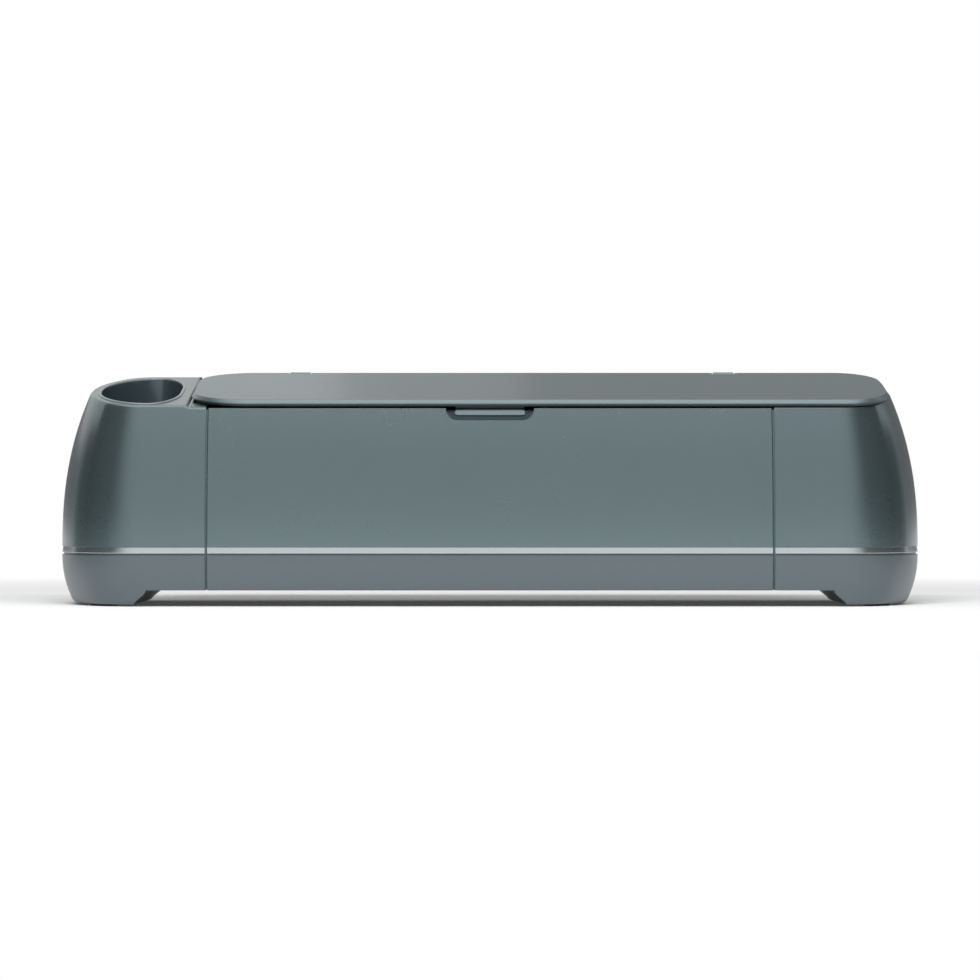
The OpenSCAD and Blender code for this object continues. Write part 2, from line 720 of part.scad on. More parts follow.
// A flanged belt pulley with a bore
module pulley(x, bore, teeth) {
  core_r = belt_r - belt_t / 2 - 0.15;
  difference() {
    union() {
      difference() {
        post(x, belt_y, belt_z - 0.5, belt_z + belt_w + 0.5, core_r);
        for (i = [0:teeth - 1]) translate([x, belt_y, belt_z - 1])
          rotate([0, 0, 360 * i / teeth]) translate([core_r, 0, 0]) cylinder(r = 0.5, h = belt_w + 2);
      }
      post(x, belt_y, belt_z - 1.5, belt_z - 0.5, belt_r + 1.5);
      post(x, belt_y, belt_z + belt_w + 0.5, belt_z + belt_w + 1.5, belt_r + 1.5);
    }
    post(x, belt_y, belt_z - 5, belt_z + belt_w + 5, bore);
  }
}

module idler_pulley() color(silver) pulley(-idler_x, 2 + run, 12);

module drive_pulley() color("#c2a35a") {
  pulley(drive_x, 2.02, 12);
  post(drive_x, belt_y, belt_z - 16, belt_z + belt_w + 4, 2);
}

// ---- motors ----

module feed_motor() color(dark) {
  s = motor_s / 2;
  difference() {
    union() {
      for (x = [motor_x, motor_x + 24])
        span_box([x, pinion_y - s, pinion_z - s], [x + 4, pinion_y + s, pinion_z + s]);
      rod_x(motor_x + 4, motor_x + 24, pinion_y, pinion_z, s);
    }
    rod_x(motor_x - 1, motor_x + 16, pinion_y, pinion_z, 2 + run);
  }
}

module gear_bracket() color(steel) {
  y0 = pinion_y - motor_s / 2;
  y1 = pinion_y + motor_s / 2;
  z0 = pinion_z - motor_s / 2;
  z1 = pinion_z + motor_s / 2;
  difference() {
    span_box([bracket_x, y0, z0], [bracket_x + bracket_t, y1, z1]);
    rod_x(bracket_x - 1, bracket_x + bracket_t + 1, pinion_y, pinion_z, 5);
    rod_x(bracket_x - 1, bracket_x + bracket_t + 1, 0, roller_z, journal_r + 1);
  }
  for (p = [[y1 - 3, z0 + 3], [y1 - 3, z1 - 3], [y0 + 3, z1 - 3]])
    rod_x(frame_out, bracket_x, p[0], p[1], 2.5);
}

module carriage_motor() color(dark) {
  low = shelf_z - 30;
  s = motor_s / 2;
  difference() {
    union() {
      span_box([drive_x - s, belt_y - s, shelf_z - 4], [drive_x + s, belt_y + s, shelf_z]);
      post(drive_x, belt_y, low + 4, shelf_z - 4, s);
      span_box([drive_x - s, belt_y - s, low], [drive_x + s, belt_y + s, low + 4]);
    }
    post(drive_x, belt_y, shelf_z - 12, shelf_z + 1, 2 + run);
  }
}

module motor_shelf() color(steel) {
  s = motor_s / 2;
  difference() {
    union() {
      span_box([frame_out, belt_y - s, shelf_z], [drive_x + s, belt_y + s, shelf_z + 2]);
      span_box([frame_out, belt_y - s, shelf_z - 16], [frame_out + 2, belt_y + s, shelf_z]);
    }
    post(drive_x, belt_y, shelf_z - 1, shelf_z + 3, 4);
  }
}

// ---- lid ----

// The lid's outline in its own sloping frame, drawn in by edge, between two heights
module lid_slab(edge, profile) {
  stretch = 1 / cos(top_slope);
  profiled_block(-lid_left + edge, lid_right - edge, -lid_front * stretch + edge, lid_back * stretch - edge,
    lid_r - edge, profile);
}

// Room for a hinge ear in the lid's rear edge
module lid_ear_room() {
  for (x = hinge_xs)
    span_box([x - hinge_ear_w / 2 - gap, lid_axis_y - hinge_roll_r - 1.2, lid_axis_z - 10],
      [x + hinge_ear_w / 2 + gap, lid_axis_y + 20, lid_axis_z + 20]);
}

module lid_panel() color(body_grey) {
  difference() {
    union() {
      sloped() lid_slab(0, [[0.6, -lid_t], [0, -lid_t + 0.6], [0, -1.2], [0.9, -0.3], [1.8, 0]]);
      rod_x(-lid_left + lid_r, lid_right - lid_r, lid_axis_y, lid_axis_z, hinge_roll_r);
    }
    lid_ear_room();
    for (x = hinge_xs) rod_x(x - 21, x + 21, lid_axis_y, lid_axis_z, lid_pin_r + run);
  }
}

module lid_liner() color(dark) {
  front = -lid_front / cos(top_slope);
  low = -lid_t - liner_t;
  sloped() {
    difference() {
      lid_slab(lid_gap_in, [[0.6, low], [0, low + 0.6], [0, -lid_t]]);
      translate([-300, (lid_axis_y - 8) / cos(top_slope), -20]) cube([700, 60, 40]);
    }
    span_box([-lip_w / 2, front + 9, low - 4.6], [lip_w / 2, front + 11, low + 1]);
    span_box([-lip_w / 2, front + lip_back, low - 4.6], [lip_w / 2, front + 9, low - 1.6]);
  }
}

module lid_hinge_pins() color(steel) {
  for (x = hinge_xs) rod_x(x - 20, x + 20, lid_axis_y, lid_axis_z, lid_pin_r);
}

// ---- door ----

// Limits the door's pieces to its width, between two heights
module door_zone(z0, z1, half = door_w / 2, back = -60) {
  span_box([-half, -half_d - 5, z0], [half, back, z1]);
}

// The finger notch, wider at its mouth
module finger_notch(extra = 0) {
  top = door_top + 3;
  low = door_top - notch_h - extra;
  half = notch_w / 2 + extra;
  rotate([90, 0, 0]) linear_extrude(casing_d + 40, center = true)
    polygon([[half, top], [half - 0.6, door_top - 1.5], [half - 4, low + 1.6], [half - 7, low],
      [-half + 7, low], [-half + 4, low + 1.6], [-half + 0.6, door_top - 1.5], [-half, top]]);
}

module door_panel() color(body_grey) {
  intersection() {
    difference() {
      casing_form(band_top, lid_mid_h + 10);
      casing_form(band_top - 1, lid_mid_h + 11, door_skin_t);
      finger_notch();
    }
    door_zone(band_top, door_top);
  }
}

module door_band() color(silver) {
  intersection() {
    difference() {
      band_form();
      casing_form(groove_z - 1, band_top + 1, door_skin_t + 0.6);
    }
    door_zone(groove_z, band_top);
  }
}

module door_skirt() color(body_grey) {
  difference() {
    intersection() {
      union() {
        difference() {
          casing_form(belly_h, groove_z);
          casing_form(belly_h - 1, groove_z + 1, door_skin_t);
        }
        for (side = [-1, 1]) {
          x = side * (door_w / 2 - 5);
          rod_x(x - 5, x + 5, -door_axis_y, door_axis_z, door_pin_r + 3);
          span_box([x - 5, -half_d + 1, door_axis_z - door_pin_r - 3],
            [x + 5, -door_axis_y, door_axis_z + door_pin_r + 3]);
        }
      }
      casing_form(belly_h, groove_z);
      door_zone(belly_h, groove_z);
    }
    rod_x(-door_w, door_w, -door_axis_y, door_axis_z, door_pin_r + 0.02);
  }
}

// The hollow of one storage tray, drawn in by edge on every side
module tray_room(side, edge) {
  x = side * (tray_w / 2 + 10);
  y1 = -door_inner_y + (edge > 0 ? 0 : 1);
  depth = tray_d + (edge > 0 ? edge : 1);
  half = tray_w / 2 + edge;
  translate([x, y1, (band_top + 9 + door_top - 24) / 2]) rotate([90, 0, 0])
    rounded_block(-half, half, -28 - edge, 28 + edge, 8 + edge, 0, depth);
}

module door_liner() color(deep_grey) {
  shell = 2;
  low = door_axis_z + 10;
  half = door_w / 2 - 1;
  intersection() {
    difference() {
      casing_form(groove_z - 6, lid_mid_h + 10, door_skin_t + 0.7);
      difference() {
        intersection() {
          casing_form(groove_z - 7, lid_mid_h + 11, door_skin_t + 0.6);
          door_zone(low + shell, door_top - 2 - shell, half - shell, -door_inner_y - shell);
        }
        for (side = [-1, 1]) tray_room(side, shell);
        finger_notch(shell);
      }
      for (side = [-1, 1]) tray_room(side, 0);
      finger_notch(0.2);
    }
    door_zone(low, door_top - 2, half, -door_inner_y);
  }
}

module door_hinge_pins() color(steel) {
  for (x = [0.5 - seam_x, seam_x - 0.5]) rod_x(x - 7, x + 7, -door_axis_y, door_axis_z, door_pin_r);
}

// ---- feed ----

// Outline of a gear with straight-flanked teeth; lash narrows each tooth
module gear_outline(teeth, module_mm, lash) {
  pitch = module_mm * teeth / 2;
  tip = pitch + module_mm * 0.95;
  root = pitch - module_mm * 1.2;
  step = 360 / teeth;
  half = step / 4 - lash / pitch * 28.6;
  polygon([for (i = [0:teeth - 1], k = [[-1.45, root], [-0.45, tip], [0.45, tip], [1.45, root]])
    [k[1] * cos(i * step + k[0] * half), k[1] * sin(i * step + k[0] * half)]]);
}

module feed_roller() color("#a7adb0") {
  rod_x(-seam_x + 6, seam_x - 6, 0, roller_z, roller_r);
  rod_x(-frame_out - 3, bracket_x + bracket_t - 0.5, 0, roller_z, journal_r);
}

module grit_sleeves() color(dark) {
  for (x = [-sleeve_x, sleeve_x]) difference() {
    rod_x(x - 20, x + 20, 0, roller_z, sleeve_r);
    rod_x(x - 21, x + 21, 0, roller_z, roller_r + 0.01);
  }
}

module roller_gear() color("#e5e3da") {
  translate([gear_x, 0, roller_z]) rotate([0, 90, 0]) difference() {
    linear_extrude(gear_w) rotate(180 - pinion_dir) gear_outline(roller_teeth, gear_mod, 0.12);
    translate([0, 0, -1]) cylinder(r = journal_r + 0.01, h = gear_w + 2);
  }
}

module motor_pinion() color("#c2a35a") {
  translate([gear_x, pinion_y, pinion_z]) rotate([0, 90, 0]) {
    linear_extrude(gear_w) rotate(180 / pinion_teeth - pinion_dir)
      gear_outline(pinion_teeth, gear_mod, 0.12);
    cylinder(r = 2, h = motor_x + 14 - gear_x);
  }
}

module pinch_shaft() color("#c8ccce") {
  rod_x(-frame_out - 2, frame_out + 2, 0, pinch_z, pinch_shaft_r);
}

module pinch_rollers() color(dark) {
  for (x = [-sleeve_x, sleeve_x]) difference() {
    rod_x(x - 10, x + 10, 0, pinch_z, pinch_r);
    rod_x(x - 11, x + 11, 0, pinch_z, pinch_shaft_r + 0.01);
  }
}

module star_wheels() color("#e9ebea") {
  for (i = [-3, -1, 1, 3]) translate([i * sleeve_x * 2 / 9 - 2, 0, pinch_z]) rotate([0, 90, 0]) difference() {
    linear_extrude(4) polygon([for (i = [0:23]) let (r = pinch_r - (i % 2 == 0 ? 0.3 : 1.1))
      [r * cos(15 * i), r * sin(15 * i)]]);
    translate([0, 0, -1]) cylinder(r = pinch_shaft_r + 0.01, h = 6);
  }
}

// ---- carriage ----

module carriage_body() color("#8d989c") {
  w = carriage_w / 2;
  difference() {
    union() {
      difference() {
        span_box([-w, carriage_front, slide_z0 - 6], [w, carriage_back - 3, rod_z + rod_r + 5]);
        span_box([-w + 2.5, carriage_front + 2.5, slide_z0 - 7],
          [w - 2.5, carriage_back - 5.5, rod_z - rod_r - 4]);
      }
      span_box([-12, carriage_back - 4, rail_z0 + 4], [12, carriage_back, rail_z1 + 4]);
      span_box([-12, carriage_back - 4, rail_z1 + gap], [12, rail_y1 - 4, rail_z1 + 4]);
      span_box([-9, belt_y - belt_r - 4, rail_z1 + 4],
        [9, belt_y - belt_r - belt_t / 2 - gap, belt_z + belt_w + 2]);
      span_box([-9, belt_y - belt_r + belt_t / 2 + gap, rail_z1 + 4],
        [9, belt_y - belt_r + 4, belt_z + belt_w + 2]);
    }
    rod_x(-w - 1, w + 1, rod_y, rod_z, rod_r + run);
  }
}

module carriage_cover() color("#dfe3e4") {
  w = carriage_w / 2 + 0.3;
  t = 1.8;
  top = rod_z + rod_r + 5.2;
  difference() {
    span_box([-w - t, carriage_front - 0.2, slide_z0], [w + t, carriage_back - 3.2, top + t]);
    span_box([-w, carriage_front - 2, slide_z0 - 2], [w, carriage_back + 1, top]);
    rod_x(-w - t - 1, w + t + 1, rod_y, rod_z, rod_r + 1);
  }
}

// The block that carries one tool holder up and down, with a bore of radius r
module tool_slide(x, r) {
  difference() {
    union() {
      span_box([x - holder_r, slide_front, slide_z0], [x + holder_r, slide_back, slide_z1]);
      post(x, -tool_y, ring_z0, ring_z1, holder_r);
      span_box([x - 9, -tool_y, ring_z0], [x + 9, slide_front + 1, ring_z1]);
      for (side = [-1, 1]) {
        cheek_x = x + side * (holder_r - cheek_t / 2);
        span_box([cheek_x - cheek_t / 2, -tool_y - 2, ring_z1 - 3],
          [cheek_x + cheek_t / 2, slide_front + 1, lever_z + 4]);
        rod_x(cheek_x + side * 1.6 - 1.6, cheek_x + side * 1.6 + 1.6, -tool_y, lever_z, 1.5);
      }
    }
    post(x, -tool_y, ring_z0 - 1, ring_z1 + 1, r);
  }
}

// The lever that straddles a holder and folds forward to free the tool
module clamp_lever(x) {
  arm = holder_r + gap;
  difference() {
    union() {
      for (arm_x = [x - arm - 0.8, x + arm + 0.8]) {
        span_box([arm_x - 0.8, -tool_y - 15.5, lever_z - 3.5], [arm_x + 0.8, -tool_y + 3.5, lever_z + 6]);
        span_box([arm_x - 0.8, -tool_y - 17.5, lever_z - 3.5], [arm_x + 0.8, -tool_y - 13.5, lever_z + 18]);
      }
      span_box([x - arm - 1.6, -tool_y - 17.5, lever_z + 10], [x + arm + 1.6, -tool_y - 15.5, lever_z + 18]);
      span_box([x - 6, -tool_y - 20, lever_z + 14], [x + 6, -tool_y - 17.5, lever_z + 18]);
    }
    rod_x(x - holder_r - 4, x + holder_r + 4, -tool_y, lever_z, 1.5 + run);
  }
}

module tool_slide_a() color("#c9cfd1") tool_slide(-tool_dx, bore_a_r);
module tool_slide_b() color("#c9cfd1") tool_slide(tool_dx, bore_b_r);
module clamp_lever_a() color("#eef0f0") clamp_lever(-tool_dx);
module clamp_lever_b() color("#eef0f0") clamp_lever(tool_dx);

module blade_housing() color("#8e9aa0") {
  difference() {
    union() {
      post(tool_dx, -tool_y, ring_z0 - 8, ring_z1, bore_b_r - 0.05);
      post(tool_dx, -tool_y, ring_z1, ring_z1 + 2, bore_b_r + 1);
      post(tool_dx, -tool_y, ring_z1 + 2, ring_z1 + 18, 7.5);
      post(tool_dx, -tool_y, ring_z0 - 16, ring_z0 - 8, 4.5);
    }
    post(tool_dx, -tool_y, ring_z0 - 26, ring_z1 + 40, 1.5 + run);
  }
}

module blade_spindle() color("#c2a35a") {
  translate([tool_dx, -tool_y, 0]) {
    post(0, 0, ring_z0 - 18, ring_z1 + 24, 1.5);
    translate([0, 0, ring_z1 + 18.4]) linear_extrude(5) gear_outline(16, 1, 0.1);
    span_box([-1, -0.25, tip_z], [1, 0.25, ring_z0 - 18]);
  }
}

// ---- assembly ----

base_pan();
waist_band();
left_cover();
right_cover();
rear_cover();
tool_cup();
cup_liner();
button_panel();
status_light();
button_board();
rubber_feet();
casing_screws();
port_plate();
power_inlet();
data_socket();
control_board();
left_frame();
right_frame();
front_platen();
rear_platen();
mat_guides();
roller_bearings();
carriage_rail();
guide_rod();
idler_bracket();
drive_belt();
feed_motor();
gear_bracket();
carriage_motor();
motor_shelf();
lid_hinge_pins();
lid_panel();
lid_liner();
door_panel();
door_band();
door_skirt();
door_liner();
door_hinge_pins();
power_button();
load_button();
pause_button();
go_button();
feed_roller();
grit_sleeves();
roller_gear();
motor_pinion();
pinch_shaft();
pinch_rollers();
star_wheels();
drive_pulley();
idler_pulley();
carriage_body();
carriage_cover();
tool_slide_a();
tool_slide_b();
clamp_lever_a();
clamp_lever_b();
blade_housing();
blade_spindle();
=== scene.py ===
"""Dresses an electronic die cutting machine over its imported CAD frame.

All sizes are in metres, in the frame's own axes: +X right, the front faces -Y, +Z up.
"""

from __future__ import annotations

import logging
import math
from collections.abc import Callable, Sequence
from dataclasses import dataclass, field
from enum import Enum

import bmesh
import bpy
from mathutils import Matrix, Vector
from mathutils.geometry import tessellate_polygon


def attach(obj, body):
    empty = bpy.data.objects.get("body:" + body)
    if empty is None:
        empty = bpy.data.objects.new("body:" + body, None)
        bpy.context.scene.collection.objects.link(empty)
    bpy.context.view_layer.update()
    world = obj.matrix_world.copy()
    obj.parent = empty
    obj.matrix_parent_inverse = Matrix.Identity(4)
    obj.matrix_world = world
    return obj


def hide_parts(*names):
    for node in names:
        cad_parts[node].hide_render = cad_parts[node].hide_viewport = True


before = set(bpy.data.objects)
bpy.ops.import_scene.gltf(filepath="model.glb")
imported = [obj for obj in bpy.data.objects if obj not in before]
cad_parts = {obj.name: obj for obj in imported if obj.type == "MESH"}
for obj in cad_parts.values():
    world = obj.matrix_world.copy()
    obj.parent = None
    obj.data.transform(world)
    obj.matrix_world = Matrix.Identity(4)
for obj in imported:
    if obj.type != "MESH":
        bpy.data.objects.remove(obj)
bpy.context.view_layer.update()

LOG = logging.getLogger("die_cutting_machine")
MERGE = 1e-6  # points closer than this become one
SUPPORT = 0.0004  # width of the flat strip that ends a rounding
CUT_REACH = 0.028  # a copied solid's end face gets cuts this far to both sides of its middle
REPEAT_SEED = 7

Point = Sequence[float]
Station = tuple[float, float, float, float]


# ---------------------------------------------------------------- mesh drafting


class Draft:
    """Points and faces of a mesh while it is being drawn."""

    def __init__(self) -> None:
        """Starts with nothing drawn."""
        self.points: list[Vector] = []
        self.faces: list[Sequence[int]] = []

    def add(self, points: Sequence[Point]) -> list[int]:
        """Adds points.

        Args:
            points: places in the row frame.

        Returns:
            Their indices.
        """
        start = len(self.points)
        self.points.extend(Vector(p) for p in points)
        return list(range(start, len(self.points)))

    def strip(self, a: Sequence[int], b: Sequence[int], closed: bool = False) -> None:
        """Joins two rows of points with quads.

        Args:
            a: one row's indices.
            b: the other row's indices, as many.
            closed: joins the rows' ends as well.
        """
        for i in range(len(a) - (0 if closed else 1)):
            j = (i + 1) % len(a)
            self.faces.append((a[i], a[j], b[j], b[i]))

    def grid(self, rows: Sequence[Sequence[Point]], closed: bool = False) -> list[list[int]]:
        """Draws a sheet through rows of points.

        Args:
            rows: rows of points, all as long.
            closed: joins each row's ends.

        Returns:
            The rows' indices.
        """
        made = [self.add(row) for row in rows]
        for a, b in zip(made, made[1:]):
            self.strip(a, b, closed)
        return made

    def fill(self, *loops: Sequence[int]) -> None:
        """Fills a flat outline.

        Args:
            loops: the outline's indices, and those of each hole in it.
        """
        flat = [i for loop in loops for i in loop]
        corners = [[self.points[i] for i in loop] for loop in loops]
        self.faces.extend(tuple(flat[k] for k in tri) for tri in tessellate_polygon(corners))

    def cap(self, loop: Sequence[int]) -> None:
        """Closes a loop of indices with one face."""
        self.faces.append(tuple(loop))

    def turned(self, profile: Sequence[tuple[float, float]], steps: int) -> list[list[int]]:
        """Draws a round sheet about the z axis.

        Args:
            profile: radii and heights.
            steps: how many faces go round.

        Returns:
            The rings' indices.
        """
        turns = spread(0.0, 2 * math.pi, steps)[:-1]
        rings = [[(r * math.cos(a), r * math.sin(a), z) for a in turns] for r, z in profile]
        return self.grid(rings, closed=True)

    def plate(self, near: Sequence[Point], far: Sequence[Point]) -> None:
        """Draws a plate between two like outlines, which may be hollow.

        Args:
            near: the corners of one end.
            far: the corners of the other end, as many.
        """
        ends = [self.add(near), self.add(far)]
        self.strip(*ends, closed=True)
        for end in ends:
            self.fill(end)

    def prism(self, outline: Sequence[Point], reach: Point) -> None:
        """Draws a closed prism.

        Args:
            outline: the corners of one end.
            reach: the way from that end to the other.
        """
        near = self.add(outline)
        far = self.add([Vector(p) + Vector(reach) for p in outline])
        self.strip(near, far, closed=True)
        self.cap(near)
        self.cap(far)

    def mesh(self, name: str, outward_from: Point | None = None) -> bpy.types.Mesh:
        """Makes the mesh, merged and facing outwards.

        Args:
            name: the mesh's name.
            outward_from: for an open sheet, a point that its faces turn away from.

        Returns:
            The mesh.
        """
        mesh = bpy.data.meshes.new(name)
        bm = bmesh.new()
        made = [bm.verts.new(p) for p in self.points]
        for face in self.faces:
            try:
                bm.faces.new([made[i] for i in face])
            except ValueError:
                continue
        bmesh.ops.remove_doubles(bm, verts=bm.verts, dist=MERGE)
        bmesh.ops.dissolve_degenerate(bm, edges=bm.edges, dist=MERGE)
        bmesh.ops.delete(bm, geom=[v for v in bm.verts if not v.link_faces], context="VERTS")
        bmesh.ops.recalc_face_normals(bm, faces=bm.faces)
        if outward_from is not None:
            for face in bm.faces:
                face.normal_update()
                if face.normal.dot(face.calc_center_median() - Vector(outward_from)) < 0:
                    face.normal_flip()
        bm.to_mesh(mesh)
        bm.free()
        return mesh


@dataclass(frozen=True)
class Edges:
    """How a piece's wall and edges are finished."""

    wall: float = 0.0
    bevel: float = 0.0004
    segments: int = 2
    bevel_angle: float = 38.0
    smooth_angle: float = 32.0


def link(name: str, mesh: bpy.types.Mesh) -> bpy.types.Object:
    """Puts a mesh into the scene as an object at the origin."""
    obj = bpy.data.objects.new(name, mesh)
    bpy.context.scene.collection.objects.link(obj)
    return obj


def bake(obj: bpy.types.Object) -> None:
    """Applies an object's modifiers to its mesh and removes them."""
    graph = bpy.context.evaluated_depsgraph_get()
    made = bpy.data.meshes.new_from_object(obj.evaluated_get(graph))
    made.name = obj.data.name
    obj.modifiers.clear()
    obj.data = made


def finished(name: str, mesh: bpy.types.Mesh, edges: Edges) -> bpy.types.Object:
    """Gives a mesh its wall, bevels and smooth shading.

    Args:
        name: the piece's name.
        mesh: the drawn mesh.
        edges: the wall and edge sizes.

    Returns:
        The piece, with nothing left to apply.
    """
    obj = link(name, mesh)
    if edges.wall:
        solid = obj.modifiers.new("Wall", "SOLIDIFY")
        solid.thickness = edges.wall
        solid.offset = -1.0
    if edges.bevel:
        bevel = obj.modifiers.new("Edges", "BEVEL")
        bevel.width = edges.bevel
        bevel.segments = edges.segments
        bevel.limit_method = "ANGLE"
        bevel.angle_limit = math.radians(edges.bevel_angle)
    bake(obj)
    obj.data.shade_smooth()
    obj.data.set_sharp_from_angle(angle=math.radians(edges.smooth_angle))
    even = obj.modifiers.new("Even shade", "WEIGHTED_NORMAL")
    even.keep_sharp = True
    bake(obj)
    return obj


def refined(
    node: str, name: str, edges: Edges, moved: Callable[[Vector], Vector] | None = None
) -> bpy.types.Object:
    """Copies a CAD node's mesh, merges it and finishes its edges.

    Args:
        node: the CAD node.
        name: the new piece's name.
        edges: the edge sizes.
        moved: places each point anew.

    Returns:
        The piece.
    """
    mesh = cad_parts[node].data.copy()
    mesh.name = name
    mesh.materials.clear()
    bm = bmesh.new()
    bm.from_mesh(mesh)
    bmesh.ops.remove_doubles(bm, verts=bm.verts, dist=MERGE * 10)
    bmesh.ops.dissolve_limit(
        bm, angle_limit=math.radians(1.0), verts=bm.verts, edges=bm.edges, delimit={"NORMAL"}
    )
    if moved is not None:
        for y in spread(-CUT_REACH, CUT_REACH, 8):
            everything = [*bm.verts, *bm.edges, *bm.faces]
            bmesh.ops.bisect_plane(
                bm, geom=everything, dist=MERGE, plane_co=(0, y, 0), plane_no=(0, 1, 0)
            )
        for vert in bm.verts:
            vert.co = moved(vert.co)
    bm.to_mesh(mesh)
    bm.free()
    return finished(name, mesh, edges)


def oval_loop(
    sides: tuple[float, float, float, float],
    left: tuple[float, float],
    right: tuple[float, float],
    steps: int = 12,
) -> list[tuple[float, float]]:
    """The corner points of a rectangle with oval corners, anticlockwise from the back right one.

    Args:
        sides: left, right, front and back side.
        left: the left corners' radii along X and Y.
        right: the right corners' radii.
        steps: segments round each corner.

    Returns:
        The outline.
    """
    x0, x1, y0, y1 = sides
    centres = (
        (x1 - right[0], y1 - right[1], right),
        (x0 + left[0], y1 - left[1], left),
        (x0 + left[0], y0 + left[1], left),
        (x1 - right[0], y0 + right[1], right),
    )
    loop = []
    for k, (cx, cy, radii) in enumerate(centres):
        for a in spread(math.pi / 2 * k, math.pi / 2 * (k + 1), steps):
            loop.append((cx + radii[0] * math.cos(a), cy + radii[1] * math.sin(a)))
    return loop


def rounded_loop(
    x0: float, x1: float, y0: float, y1: float, r: float, steps: int = 12
) -> list[tuple[float, float]]:
    """The corner points of a rectangle with round corners, anticlockwise.

    Args:
        x0: left side.
        x1: right side.
        y0: front side.
        y1: back side.
        r: corner radius.
        steps: segments round each corner.

    Returns:
        The outline.
    """
    return oval_loop((x0, x1, y0, y1), (r, r), (r, r), steps)


def drawn_in(loop: Sequence[tuple[float, float]], edge: float) -> list[tuple[float, float]]:
    """An anticlockwise outline moved inwards by edge, with mitred corners."""
    moved = []
    for i, (x, y) in enumerate(loop):
        normals = []
        for a, b in ((loop[i - 1], (x, y)), ((x, y), loop[(i + 1) % len(loop)])):
            along = Vector((b[0] - a[0], b[1] - a[1]))
            if along.length > 1e-9:
                normals.append(Vector((-along.y, along.x)).normalized())
        n = normals[0] + normals[-1]
        scale = edge / max(0.3, 1 + normals[0].dot(normals[-1]))
        moved.append((x + n.x * scale, y + n.y * scale))
    return moved


def spread(low: float, high: float, steps: int) -> list[float]:
    """Evenly spaced values from low to high, both included."""
    return [low + (high - low) * i / steps for i in range(steps + 1)]


# ---------------------------------------------------------------- the casing's form


